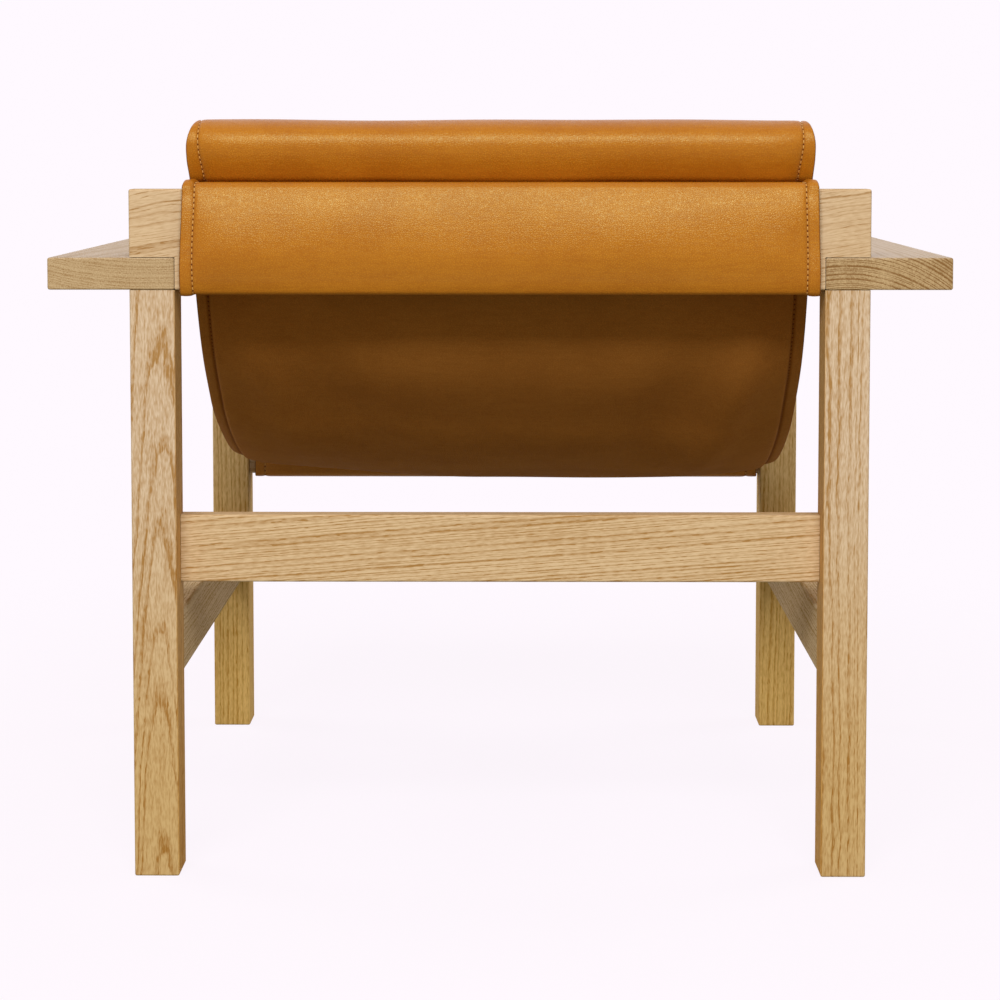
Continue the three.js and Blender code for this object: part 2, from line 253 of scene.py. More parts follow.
# %% Bolster roll
DOWN, AHEAD, UP, REARWARDS = np.radians([-90, 0, 90, 180])
BOLSTER, BOLSTER_FRONT = np.array([51.0, 648.0]) * MM, 26.2 * MM
CREST, REAR_MOST = 671.2 * MM, np.array([25.4, 655.5]) * MM
ROLL_LOW, ROLL_TURN = np.array([35.6, 630.6]) * MM, np.array([44.5, 625.2]) * MM
ROLL_FALLS, ROLL_TURNS = np.radians([-57, -20])
ROLL_REACH, LOW_REACH, TURN_REACH = 8.0 * MM, 4.4 * MM, 5.0 * MM
OVAL_STEPS, OVAL_POWER = 32, 2.15


def quarter(centre, reach, rise, start):
    """A quarter of an oval, |depth / a| ** n + |height / b| ** n = 1, from a start angle."""
    angle = start + np.linspace(0, 0.5 * math.pi, OVAL_STEPS + 1)
    c, s = np.cos(angle), np.sin(angle)
    depth = reach * np.sign(c) * np.abs(c) ** (2 / OVAL_POWER)
    height = rise * np.sign(s) * np.abs(s) ** (2 / OVAL_POWER)
    return np.asarray(centre) + np.stack([depth, height], 1)


def swing(start, leaves, leave_reach, end, arrives, arrive_reach, steps):
    """Cubic curve between two points: it leaves and arrives at two headings, and a reach says how far it
    keeps to each of them. Its four points are weighted by the terms of ((1 - t) + t) ** 3."""
    a, d = np.asarray(start), np.asarray(end)
    b = a + leave_reach * np.array([math.cos(leaves), math.sin(leaves)])
    c = d - arrive_reach * np.array([math.cos(arrives), math.sin(arrives)])
    t = np.linspace(0, 1, steps + 1)[:, None]
    return (1 - t) ** 3 * a + 3 * (1 - t) ** 2 * t * b + 3 * (1 - t) * t**2 * c + t**3 * d


def joined(*curves):
    """Curves end to end, with the shared points kept once."""
    return np.concatenate([curves[0][:1]] + [curve[1:] for curve in curves])


roll_top = (BOLSTER[0], REAR_MOST[1])
roll = joined(
    quarter(BOLSTER, BOLSTER_FRONT, CREST - BOLSTER[1], 0.0),
    quarter(roll_top, BOLSTER[0] - REAR_MOST[0], CREST - REAR_MOST[1], 0.5 * math.pi),
    swing(REAR_MOST, DOWN, ROLL_REACH, ROLL_LOW, ROLL_FALLS, ROLL_REACH, steps=18),
    swing(ROLL_LOW, ROLL_FALLS, LOW_REACH, ROLL_TURN, ROLL_TURNS, TURN_REACH, steps=14),
)
print("roll", len(roll), "points, top", round(roll[:, 1].max(), 4))

# %% Crease behind the roll
FOLD_CREASE, CREASE_DROP = 1.2 * MM, 5.0 * MM
DIVES, DIVE_REACH = math.radians(-28.5), 9.0 * MM


def turn(centre, radius, start, end, steps):
    """Arc by its headings: centre + radius (sin h, -cos h). A negative radius turns clockwise."""
    h = np.linspace(start, end, steps + 1)
    return np.asarray(centre) + radius * np.stack([np.sin(h), -np.cos(h)], 1)


# The crease ends where its heading runs on to touch the rear rail's upper front edge
fold = -(SLING_THICK + FOLD_CREASE)
fold_centre = np.array([roll[0, 0] - FIT + fold, REAR_RAIL_TOP - CREASE_DROP])
to_rail = np.array(rear_rail["front_high"]) - fold_centre
rises = math.atan2(to_rail[1], to_rail[0]) % (2 * math.pi)
rises += math.asin((fold - CORNER) / np.linalg.norm(to_rail))
crease = turn(fold_centre, fold, DIVES, rises - 2 * math.pi, steps=22)
to_crease = swing(roll[-1], ROLL_TURNS, DIVE_REACH, crease[0], DIVES, DIVE_REACH, steps=12)
print("crease", len(crease), "points, depth", round(fold_centre[0], 4))

# %% Sleeves round both rails
FRONT_FALL, BAND_LEAN, BAND_TUCK = np.radians([28, 21, 27])
FRONT_TAIL_DROP, REAR_TAIL_DROP = 8.0 * MM, 10.0 * MM


def round_corner(rail, name, start, end, steps=9):
    """Arc round one eased edge of a rail, between two headings."""
    return turn(rail[name], CORNER, start, end, steps)


falls = REARWARDS + FRONT_FALL
front_sleeve = [
    round_corner(front_rail, "back_low", DOWN, AHEAD),
    round_corner(front_rail, "front_low", AHEAD, UP),
    round_corner(front_rail, "front_high", UP, REARWARDS),
    round_corner(front_rail, "back_high", REARWARDS, falls, steps=5),
]
rear_sleeve = [
    round_corner(rear_rail, "front_high", rises, REARWARDS, steps=5),
    round_corner(rear_rail, "back_high", REARWARDS, 2 * math.pi + DOWN - BAND_LEAN),
    round_corner(rear_rail, "back_low", DOWN + BAND_TUCK, AHEAD),
    round_corner(rear_rail, "front_low", AHEAD, UP),
]
front_tail = np.array([[front_sleeve[0][0, 0], FRONT_RAIL_TOP - FRONT_TAIL_DROP]])
rear_tail = np.array([[rear_sleeve[3][-1, 0], REAR_RAIL_TOP - REAR_TAIL_DROP]])
print("sleeve corners", len(front_sleeve), len(rear_sleeve))

# %% Seat, back and band
HIP, HIP_SLOPE = np.array([223.0, 389.0]) * MM, math.radians(34)
FRONT_REACH, HIP_SEAT_REACH, HIP_BACK_REACH, BACK_REACH = np.array([148, 110, 105, 203]) * MM
BAND_HIGH_REACH, BAND_LOW_REACH = 40.0 * MM, 14.0 * MM

climbs = REARWARDS - HIP_SLOPE
seat = swing(front_sleeve[3][-1], falls, FRONT_REACH, HIP, climbs, HIP_SEAT_REACH, steps=84)
back = swing(HIP, climbs, HIP_BACK_REACH, roll[0], UP, BACK_REACH, steps=78)
band = swing(rear_sleeve[1][-1], DOWN - BAND_LEAN, BAND_HIGH_REACH,
             rear_sleeve[2][0], DOWN + BAND_TUCK, BAND_LOW_REACH, steps=30)
print("seat low point", round(seat[:, 1].min(), 4), "band height", round(np.ptp(band[:, 1]), 4))

# %% The whole line
SPACING, CREASE_SPACING = 6.0 * MM, 3.0 * MM


def straight(start, end, spacing=SPACING):
    """Line of evenly spaced points."""
    steps = max(2, round(np.linalg.norm(end - start) / spacing))
    return start + np.linspace(0, 1, steps + 1)[:, None] * (end - start)


def with_straights(*curves):
    """Curves end to end, with a straight line across each gap between them."""
    made = [curves[0]]
    for before, after in zip(curves, curves[1:]):
        made += [straight(before[-1], after[0]), after]
    return joined(*made)


def path_length(path):
    """Length from a path's first point to each of its points."""
    return np.concatenate([[0], np.cumsum(np.linalg.norm(np.diff(path, axis=0), axis=1))])


LINE_PIECES = {
    "front": with_straights(front_tail, *front_sleeve),
    "free": joined(seat, back),
    "roll": roll,
    "dive": to_crease,
    "crease": joined(crease, straight(crease[-1], rear_sleeve[0][0], CREASE_SPACING)),
    "rear": with_straights(*rear_sleeve[:2]),
    "band": band,
    "under": with_straights(*rear_sleeve[2:], rear_tail),
}
line = joined(*LINE_PIECES.values())
part = np.concatenate([["front"]] + [[name] * (len(points) - 1) for name, points in LINE_PIECES.items()])
along = path_length(line)
STRIP_LENGTH = float(along[-1])
print("stations", len(line), "strip length", round(STRIP_LENGTH, 4))

# %% [markdown]
# ## The sling as a surface
# A leather strip carried along that line is a grid: one row for each station, one column for each
# distance from the strip's edge. A cloth simulation could hang it, but the sag, the curled edges and the
# pocket ends that are squeezed flat and sewn shut are known shapes, so each is one term of a sum.

# %% Columns across the strip and shares along it
HEM = 11.8 * MM
HEM_COLUMNS = np.array([0, 0.35, 0.8, 1.4, 2.6, 4.4, 6.4, 8.4, 10.0, 10.9, 11.8,
                        12.7, 13.8, 15.6, 18.5, 23, 30, 38, 47]) * MM
INNER_FROM, INNER_COUNT = 57 * MM, 26

half_columns = np.concatenate([HEM_COLUMNS, np.linspace(INNER_FROM, SLING_HALF, INNER_COUNT)])
other_half = half_columns[-2::-1]
from_edge = np.concatenate([half_columns, other_half])
across = np.concatenate([SLING_HALF - half_columns, other_half - SLING_HALF])
left = across > 0


def ends_of(name):
    """First and last station of one part of the line."""
    stations = np.flatnonzero(part == name)
    return stations[0], stations[-1]


free = part == "free"
free_start, free_end = along[ends_of("free")[0] - 1], along[ends_of("free")[1]]
share = np.clip((along - free_start) / (free_end - free_start), 0, 1)
hang = np.where(free, np.sin(math.pi * share), 0.0)
heading = np.gradient(line, along, axis=0)
heading /= np.linalg.norm(heading, axis=1, keepdims=True)
facing = np.stack([heading[:, 1], -heading[:, 0]], 1)
print("columns", len(across), "free span", round(free_end - free_start, 4))

# %% Pocket ends sewn shut
SEAM = np.array([roll[0, 0] - FIT, fold_centre[1]])
POCKET_TIP = np.array([31.0, 672.5]) * MM
SQUEEZE, CURVE_KEPT = 0.92, 0.78
SEWN_SHUT = 9 * MM
POCKET_FROM = -20 * MM


def smooth(value, zero_at, one_at):
    """Smooth step from 0 to 1 between two values: 3 t ** 2 - 2 t ** 3."""
    t = np.clip((value - zero_at) / (one_at - zero_at), 0, 1)
    return t * t * (3 - 2 * t)


rear_side = np.concatenate([SEAM[None], to_crease[:0:-1], roll[:OVAL_STEPS - 1:-1]])
slope = (POCKET_TIP[0] - SEAM[0]) / (POCKET_TIP[1] - SEAM[1])
straight_side = SEAM[0] + (rear_side[:, 1] - SEAM[1]) * slope
closed_side = CURVE_KEPT * rear_side[:, 0] + (1 - CURVE_KEPT) * straight_side


def squeezed(points, edge_distance, weight=1.0):
    """Points moved in depth towards the closed end of the pocket, by a share of their gap to it: the front
    side comes over from far inside, the rear side keeps its curve nearly up to the stitches."""
    gap = points[..., 0] - np.interp(points[..., 1], rear_side[:, 1], closed_side)
    from_front = smooth(edge_distance, zero_at=50 * MM, one_at=SEWN_SHUT)
    from_rear = smooth(edge_distance, zero_at=36 * MM, one_at=SEWN_SHUT)
    moved = SQUEEZE * weight * gap * np.where(gap > 0, from_front, from_rear)
    return points - moved[..., None] * np.array([1.0, 0.0])


over_seam = line[:, 1] - SEAM[1]
is_pocket = np.isin(part, ["roll", "dive"]) | (free & (over_seam > POCKET_FROM))
dive_share = (along - along[ends_of("dive")[0]]) / path_length(to_crease)[-1]
pocket_mask = np.where(is_pocket, smooth(over_seam, zero_at=-18 * MM, one_at=6 * MM), 0.0)
pocket_mask = np.where(part == "dive", smooth(dive_share, zero_at=1.0, one_at=0.1), pocket_mask)
pocket_mask = np.where(part == "roll", 1.0, pocket_mask)
section = squeezed(np.repeat(line[:, None], len(across), 1), from_edge[None, :], pocket_mask[:, None])
print("pocket stations", int(is_pocket.sum()))

# %% Edges trimmed over the crests
TRIM_REACH = 13.5 * MM
ROLL_TRIM, RAIL_TRIM, POCKET_TRIM, FRONT_LEFT_TRIM = np.array([11.0, 3.6, 0.6, 3.0]) * MM


def rounded(value, zero_at, one_at):
    """Share that grows like a quarter circle from 0 to 1 between two values: 1 - sqrt(1 - t ** 2)."""
    t = np.clip((value - zero_at) / (one_at - zero_at), 0, 1)
    return 1 - np.sqrt(1 - t**2)


outer_height = line[:, 1] + SLING_THICK * facing[:, 1]
roll_trim = ROLL_TRIM * rounded(outer_height, zero_at=649 * MM, one_at=677 * MM)
rail_trim = RAIL_TRIM * rounded(outer_height, zero_at=615 * MM, one_at=622 * MM)
trimmed = np.where(is_pocket, roll_trim, 0.0)
trimmed = trimmed + np.where(free & is_pocket, POCKET_TRIM * pocket_mask, 0.0)
trimmed = trimmed + np.where(part == "rear", rail_trim, 0.0)
trim_share = np.clip(1 - from_edge / TRIM_REACH, 0, 1)
front_trim = np.where(part == "front", FRONT_LEFT_TRIM, 0.0)[:, None] * left
print("most trimmed", round(trimmed.max(), 4))

# %% Edges drawn in along the line
BACK_DRAW, POCKET_DRAW, POCKET_LOW_DRAW, BAND_DRAW, ROLL_DRAW = np.array([2.4, 3.6, 1.2, 4.6, 3.2]) * MM
BAND_EASES, RIGHT_DRAW, RIGHT_WANDER = 0.72, 0.70, -0.6
WANDER, WANDER_SHORT, WANDER_LONG, WANDER_START = 0.7 * MM, 61 * MM, 147 * MM, 1.0
DRAW_POWER, WANDER_POWER = 6, 8


def bell(value, middle, width):
    """Bell curve of a value's distance from a middle: e to the power of -(distance / width) ** 2."""
    return np.exp(-(((value - middle) / width) ** 2))


band_from, band_to = along[list(ends_of("band"))]
band_share = np.clip((along - band_from) / (band_to - band_from), 0, 1)
is_rear = np.isin(part, ["crease", "rear", "band", "under"])
back_draw = BACK_DRAW * free * bell(share, middle=0.75, width=0.13)
pocket_draw = POCKET_DRAW + POCKET_LOW_DRAW * smooth(line[:, 1], zero_at=644 * MM, one_at=626 * MM)
pocket_draw = np.where(is_pocket, pocket_draw * pocket_mask, 0.0)
band_draw = np.where(is_rear, BAND_DRAW * (1 - BAND_EASES * smooth(band_share, 0, 1)), 0.0)
draw = back_draw + pocket_draw + band_draw
roll_draw = ROLL_DRAW * smooth(line[:, 1], zero_at=662 * MM, one_at=628 * MM)
roll_draw = np.where(is_pocket, roll_draw * pocket_mask, 0.0)
at_stitch = bell(from_edge, middle=14 * MM, width=9 * MM)
wander = WANDER * np.sin(along / WANDER_SHORT + WANDER_START) * np.sin(along / WANDER_LONG)
edge_share = np.abs(across) / SLING_HALF
inwards = draw[:, None] * edge_share**DRAW_POWER + trimmed[:, None] * trim_share
inwards = inwards * np.where(left, 1.0, RIGHT_DRAW)
inwards = inwards + roll_draw[:, None] * at_stitch + front_trim * edge_share**DRAW_POWER
grid_x = across - np.sign(across) * inwards
grid_x = grid_x + wander[:, None] * edge_share**WANDER_POWER * np.where(left, 1, RIGHT_WANDER)
print("narrowest half", round(np.abs(grid_x[:, 0]).min(), 4))

# %% Folds in the seat
FADE_POWER, FADE_END = 0.7, 0.02


def soft_ridge(start, end, width, height):
    """Soft ridge between two (across, share) points: a bell curve of the distance from their line, which
    fades like a half sine towards both ends."""
    scale = np.array([1.0, free_end - free_start])
    a, b = np.array(start) * scale, np.array(end) * scale
    p = np.stack(np.broadcast_arrays(across[None, :], share[:, None]), -1) * scale
    t = np.clip((p - a) @ (b - a) / ((b - a) @ (b - a)), 0, 1)
    off = np.linalg.norm(p - a - t[..., None] * (b - a), axis=-1)
    fade = np.sin(math.pi * np.clip(t, FADE_END, 1 - FADE_END)) ** FADE_POWER
    return np.where(free[:, None], height * fade * bell(off, 0, width), 0.0)


ridges = (
    soft_ridge(start=(-0.246, 0.88), end=(-0.190, 0.40), width=21 * MM, height=-9.5 * MM)
    + soft_ridge(start=(-0.200, 0.88), end=(-0.120, 0.42), width=26 * MM, height=6.5 * MM)
    + soft_ridge(start=(0.235, 0.84), end=(0.190, 0.42), width=22 * MM, height=-6.5 * MM)
    + soft_ridge(start=(0.190, 0.84), end=(0.110, 0.44), width=26 * MM, height=4.5 * MM)
)
print("folds from", round(ridges.min(), 4), "to", round(ridges.max(), 4))

# %% Sag, curled edges and ripples
SEAT_SAG, EDGE_CURL, SEAT_TILT, LEFT_RISE, RIGHT_RISE, HINGE = np.array([10.5, 9, 1.6, 12, 4, 2.2]) * MM
BAND_DIP, RIPPLE, BAND_RIPPLE = 4.0 * MM, 0.35 * MM, 2.2
CURL_REACH, RIGHT_CURL = 42 * MM, 0.6
SAG_POWER, CURL_POWER = 6, 1.5


def wave(across_length, along_length, start=0.0):
    """Sine that runs slantwise over the strip."""
    return np.sin(across / across_length + along[:, None] / along_length + start)


spread = across / SLING_HALF
hangs = hang[:, None]
sag = SEAT_SAG * hangs * (1 - np.abs(spread) ** SAG_POWER)
curl = EDGE_CURL * np.where(left, 1.0, RIGHT_CURL) * np.clip(1 - from_edge / CURL_REACH, 0, 1) ** 2
left_rise = LEFT_RISE * smooth(across, zero_at=20 * MM, one_at=260 * MM)
right_rise = RIGHT_RISE * smooth(across, zero_at=-170 * MM, one_at=-270 * MM)
hinge = HINGE * smooth(from_edge, zero_at=15.5 * MM, one_at=11.5 * MM)
band_middle = np.sin(math.pi * band_share)[:, None]
band_dip = BAND_DIP * band_middle**2 * smooth(from_edge, zero_at=40 * MM, one_at=4 * MM)
ripple = RIPPLE * (wave(31 * MM, 50 * MM) + wave(53 * MM, -41 * MM, start=2.0))
ripple = ripple * (np.isin(part, ["free", "roll"])[:, None] + BAND_RIPPLE * band_middle)
lift = curl * hangs**CURL_POWER + hangs * (SEAT_TILT * spread + left_rise + right_rise)
lift = lift + hinge * np.sqrt(hangs) + ridges + ripple - sag - band_dip
print("lift from", round(lift.min(), 4), "to", round(lift.max(), 4))

# %% The sheet and its normals
rows = section + lift[..., None] * facing[:, None, :]
sheet = np.stack([grid_x, REAR_FACE - rows[..., 0], rows[..., 1]], -1)
normal = np.cross(np.gradient(sheet, along, axis=0), np.gradient(sheet, across, axis=1))
normal /= np.linalg.norm(normal, axis=2, keepdims=True)
toward_face = np.stack([np.zeros(len(facing)), -facing[:, 0], facing[:, 1]], 1)
if (normal[:, len(across) // 2] * toward_face).sum(1).mean() < 0:
    normal = -normal
print("sheet", sheet.shape, "low", sheet.min((0, 1)).round(4), "high", sheet.max((0, 1)).round(4))

# %% [markdown]
# ## Leather and cloth as pieces
# The sling is two leathers sewn back to back with a cloth between them. Each layer is the sheet moved
# along its normal, once for its outer and once for its inner side, and closed round the rim. Solidify
# could do that, but the hem needs a thickness of its own: the leathers are pressed together outside the
# stitches, with a groove where the thread pulls.

# %% Put a surface into a mesh
def mesh_piece(name, points, faces, flat=None):
    """Mesh object of points and faces, smooth except for the faces marked flat."""
    mesh = bpy.data.meshes.new(name)
    mesh.from_pydata(points.reshape(-1, 3).tolist(), [], faces)
    smooth_faces = np.ones(len(faces), bool) if flat is None else ~flat
    mesh.polygons.foreach_set("use_smooth", smooth_faces)
    mesh.update()
    made = add_object(name, mesh)
    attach(made, "root")
    return made


def keep_vectors(piece, name, values):
    """Vector attribute on the points of a piece."""
    made = piece.data.attributes.new(name, "FLOAT_VECTOR", "POINT")
    made.data.foreach_set("vector", np.ascontiguousarray(values, np.float32).ravel())


# %% Close a layer round its rim
def grid_quads(n, m, first=0):
    """Quads of a grid of n rows and m columns, whose points are numbered row by row."""
    i, j = np.meshgrid(np.arange(n - 1), np.arange(m - 1), indexing="ij")
    a = first + i * m + j
    return np.stack([a, a + 1, a + m + 1, a + m], -1).reshape(-1, 4)


def thin_layer(name, outer, inner, strip):
    """Closed solid between two grids: outer side, inner side and the four rims, turned to face outwards."""
    n, m = outer.shape[:2]
    top, bottom = grid_quads(n, m), grid_quads(n, m, n * m)[:, ::-1]
    ring = np.concatenate([np.arange(m - 1), np.arange(n - 1) * m + m - 1,
                           (n - 1) * m + np.arange(m - 1, 0, -1), np.arange(n - 1, 0, -1) * m])
    after = np.roll(ring, -1)
    rim = np.stack([after, ring, ring + n * m, after + n * m], 1)
    quads = np.concatenate([top, bottom, rim])
    flat = np.arange(len(quads)) >= len(top) + len(bottom)
    points = np.concatenate([outer.reshape(-1, 3), inner.reshape(-1, 3)])
    a, b, c = (points[top[:, k]] for k in (0, 1, 2))
    outwards = (np.cross(b - a, c - a) * (outer - inner)[:-1, :-1].reshape(-1, 3)).sum()
    if outwards < 0:
        quads = quads[:, ::-1]
    piece = mesh_piece(name, points, quads.tolist(), flat)
    keep_vectors(piece, "strip", np.concatenate([strip.reshape(-1, 3)] * 2))
    print(name, len(quads) * 2, "triangles")
    return piece


# %% Distance of each side from the sheet
CUT_ROUND, GROOVE, FLANGE, FLANGE_SWELL = np.array([0.75, 0.95, 0.55, 0.25]) * MM
STANDS_UP, TIGHT, MEETS = np.array([2.8, 1.9, 0.65]) * MM
FACE_INNER, LINING_INNER = 3.6 * MM, 2.2 * MM
RAIL_SIDE_ROUND = 0.5

rounded_cut = CUT_ROUND * rounded(from_edge, zero_at=1.4 * MM, one_at=0)
groove = GROOVE * bell(from_edge, middle=HEM, width=1.5 * MM)
flange = FLANGE * smooth(from_edge, zero_at=19 * MM, one_at=11 * MM)
flange = flange - FLANGE_SWELL * bell(from_edge, middle=5 * MM, width=3 * MM)
hem_dip = rounded_cut + groove + flange
stands_up = STANDS_UP * smooth(from_edge, zero_at=16 * MM, one_at=6 * MM) * (part == "rear")[:, None]
tight = TIGHT * smooth(band_share, zero_at=0.60, one_at=1.0)[:, None]
tight = tight * smooth(from_edge, zero_at=10 * MM, one_at=16 * MM)
meets = MEETS * smooth(from_edge, zero_at=17 * MM, one_at=13 * MM)
on_rail = np.isin(part, ["front", "rear", "band", "under", "crease"])[:, None]
face_out = SLING_THICK - hem_dip + stands_up - tight
lining_out = np.where(on_rail, RAIL_SIDE_ROUND * rounded_cut, hem_dip)
print("face side from", round(face_out.min(), 5), "to", round(face_out.max(), 5))

# %% Face leather, lining leather and cloth
FRONT_PRESS = 0.38
CLOTH_INSET, CLOTH_OUT, CLOTH_IN, CLOTH_STRIDE = 15 * MM, 3.35 * MM, 2.45 * MM, 2
front_low, front_high = (np.argmin(np.linalg.norm(line - point, axis=1))
                         for point in (front_sleeve[1][-1], front_sleeve[2][0]))
pressed = 1 - FRONT_PRESS * smooth(along, zero_at=along[front_high], one_at=along[front_low])


def layer_side(distance):
    """The sheet moved along its normal by a distance, which is pressed thinner round the front sleeve."""
    moved = np.broadcast_to(distance, sheet.shape[:2]) * pressed[:, None]
    return sheet + moved[..., None] * normal


def hem_length(surface):
    """Length along a side of the strip at each station, as the mean of its two hems."""
    return np.mean([path_length(surface[:, column]) for column in hem_paths], axis=0)


def strip_place(measured):
    """For each grid point: place across the strip, length along it and distance from the edge."""
    return np.stack(np.broadcast_arrays(across[None, :], measured[:, None], from_edge[None, :]), -1)


hem_paths = np.flatnonzero(np.isclose(from_edge, HEM))
face_side, lining_side = layer_side(face_out), layer_side(lining_out)
face_along, lining_along = hem_length(face_side), hem_length(lining_side)
sling_face = thin_layer("sling_face", face_side, layer_side(FACE_INNER - meets), strip_place(face_along))
sling_lining = thin_layer("sling_lining", lining_side, layer_side(LINING_INNER + meets),
                          strip_place(lining_along))
cloth_rows = np.unique(np.append(np.arange(0, len(line), CLOTH_STRIDE), len(line) - 1))
pick = np.ix_(cloth_rows, np.flatnonzero(from_edge >= CLOTH_INSET))
sling_cloth = thin_layer("sling_interliner_cloth", layer_side(CLOTH_OUT)[pick], layer_side(CLOTH_IN)[pick],
                         strip_place(along)[pick])

# %% [markdown]
# ## Foam core
# A cut foam core fills the bolster's pocket and keeps the roll round. It could be a scaled cylinder, but
# made from the pocket's own section it fits the leather all round and follows the squeezed ends.

# %% Foam core of the bolster
CORE_SLICES, CORE_INSET, CORE_CAP, CORE_GAP = 90, 17 * MM, 8 * MM, 0.7 * MM
CORE_LEAVES, CORE_LEAVE_REACH, CORE_RISE_REACH = math.radians(-12), 14 * MM, 22 * MM
SMALLEST_CAP = 0.0004


def foam_core(name):
    """The pocket's section, drawn in by a hair and closed below, carried along the width. It is squeezed
    with the pocket, and shrinks like a half oval to closed caps at both ends."""
    under = swing(roll[-1], CORE_LEAVES, CORE_LEAVE_REACH, roll[0], UP, CORE_RISE_REACH, steps=16)
    outline = joined(roll, under)[:-1]
    way = np.roll(outline, -1, 0) - np.roll(outline, 1, 0)
    way /= np.linalg.norm(way, axis=1, keepdims=True)
    outline = outline - CORE_GAP * np.stack([way[:, 1], -way[:, 0]], 1)
    steps, middle = len(outline), outline.mean(0)
    half = SLING_HALF - CORE_INSET
    reach = np.sin(np.linspace(-0.5 * math.pi, 0.5 * math.pi, CORE_SLICES)) * half
    end = np.clip((np.abs(reach) - half + CORE_CAP) / CORE_CAP, 0, 1)
    shrink = np.sqrt(np.clip(1 - end**2, SMALLEST_CAP, 1))
    ring = middle + (outline - middle)[None] * shrink[:, None, None]
    ring = squeezed(ring, (SLING_HALF - np.abs(reach))[:, None])
    reach_x = np.broadcast_to(reach[:, None], ring.shape[:2])
    points = np.stack([reach_x, REAR_FACE - ring[..., 0], ring[..., 1]], -1)
    i, j = np.meshgrid(np.arange(CORE_SLICES - 1), np.arange(steps), indexing="ij")
    a, b = i * steps + j, i * steps + (j + 1) % steps
    quads = np.stack([a, b, b + steps, a + steps], -1).reshape(-1, 4)
    caps = [list(range(steps - 1, -1, -1)), list(range((CORE_SLICES - 1) * steps, CORE_SLICES * steps))]
    return mesh_piece(name, points, quads.tolist() + caps)


bolster_core = foam_core("bolster_core")
print("bolster core", len(bolster_core.data.polygons), "faces")

# %% [markdown]
# ## Stitches
# A row of lockstitches shows as short pale threads that dip into dark holes. They could be painted on, but
# as small capsules, bent down at their ends, they catch the light. They stand on the hem column of the
# leather's own grid, so they follow every turn of the strip.

# %% Threads
THREAD, THREAD_TIP = 0.33 * MM, 0.03 * MM
THREAD_ARCH, THREAD_SINK = 0.30 * MM, 0.16 * MM
THREAD_RINGS, THREAD_SIDES = 7, 6
THIN_POWER, ARCH_POWER = 0.4, 0.6


def threads(name, start, end, up_way):
    """Capsules from start to end points: a circle carried along a low half sine, thinner at its tips."""
    t = np.linspace(0, 1, THREAD_RINGS)
    arch = np.clip(np.sin(math.pi * t), 0, 1)
    radius = THREAD * arch**THIN_POWER + THREAD_TIP
    height = THREAD_ARCH * arch**ARCH_POWER - THREAD_SINK
    way = end - start
    out_way = np.cross(way, up_way)
    out_way /= np.linalg.norm(out_way, axis=1, keepdims=True)
    middle = start[:, None] + way[:, None] * t[None, :, None] + up_way[:, None] * height[None, :, None]
    angle = np.arange(THREAD_SIDES) * 2 * math.pi / THREAD_SIDES
    ring = (out_way[:, None, None] * np.cos(angle)[None, None, :, None]
            + up_way[:, None, None] * np.sin(angle)[None, None, :, None])
    points = middle[:, :, None] + ring * radius[None, :, None, None]
    k, i, j = np.meshgrid(np.arange(len(start)), np.arange(THREAD_RINGS - 1), np.arange(THREAD_SIDES),
                          indexing="ij")
    base = (k * THREAD_RINGS + i) * THREAD_SIDES
    a, b = base + j, base + (j + 1) % THREAD_SIDES
    quads = np.stack([a, a + THREAD_SIDES, b + THREAD_SIDES, b], -1).reshape(-1, 4)
    print(name, len(start), "stitches")
    return mesh_piece(name, points, quads.tolist())


# %% Places of stitches along a path
PITCH, STITCH_HALF, STITCH_SLANT = 4.9 * MM, 0.36, 0.12 * MM


def read_at(places, length, values):
    """Values along a path, read at some lengths: each of the three columns is interpolated on its own."""
    return np.stack([np.interp(places, length, column) for column in values.T], 1)


def stitch_row(path, normals, places):
    """Start, end and outward way of stitches whose middles lie at places along a path of points. They slant
    a little across the path."""
    length = path_length(path)
    half = STITCH_HALF * PITCH
    start, end = read_at(places - half, length, path), read_at(places + half, length, path)
    out_way = read_at(places, length, normals)
    out_way /= np.linalg.norm(out_way, axis=1, keepdims=True)
    way = end - start
    across_way = np.cross(out_way, way / np.linalg.norm(way, axis=1, keepdims=True))
    return start - STITCH_SLANT * across_way, end + STITCH_SLANT * across_way, out_way


def gathered(stitches):
    """Several rows of stitches as one: their starts, their ends and their outward ways."""
    return [np.concatenate(group) for group in zip(*stitches)]


# %% Rows of stitches
SLEEVE_SEAM, SEAM_INSIDE = 13 * MM, 3 * MM
FACE_MARGIN, LINING_MARGIN = 12 * MM, 20 * MM


def hem_rows(surface, outward, measured, first, last):
    """Stitches along both hems, between two lengths along the strip, evenly spaced on their own side."""
    start, end = np.interp([first, last], along, measured)
    places = np.arange(math.ceil(start / PITCH), math.floor(end / PITCH)) * PITCH + PITCH / 2
    made = []
    for column in hem_paths:
        path = surface[:, column]
        made.append(stitch_row(path, outward[:, column], np.interp(places, measured, path_length(path))))
    return gathered(made)


def cross_row(surface, outward, where):
    """Stitches across the strip at one length along it, between the hems."""
    station = int(np.argmin(np.abs(along - where)))
    inside = np.flatnonzero(from_edge >= HEM + SEAM_INSIDE)
    path = surface[station, inside]
    places = (np.arange(int(path_length(path)[-1] / PITCH) - 1) + 1) * PITCH
    return stitch_row(path, outward[station, inside], places)


seam_at = float(along[np.flatnonzero(free)[np.argmin(np.abs(line[free, 1] - SEAM[1]))]])
sleeve_at = float(free_start + SLEEVE_SEAM)
face_thread = threads("face_thread", *gathered([
    hem_rows(face_side, normal, face_along, FACE_MARGIN, STRIP_LENGTH - FACE_MARGIN),
    cross_row(face_side, normal, seam_at),
    cross_row(face_side, normal, sleeve_at),
]))
lining_thread = threads("lining_thread", *gathered([
    hem_rows(lining_side, -normal, lining_along, float(free_start), seam_at - LINING_MARGIN),
    cross_row(lining_side, -normal, sleeve_at),
]))

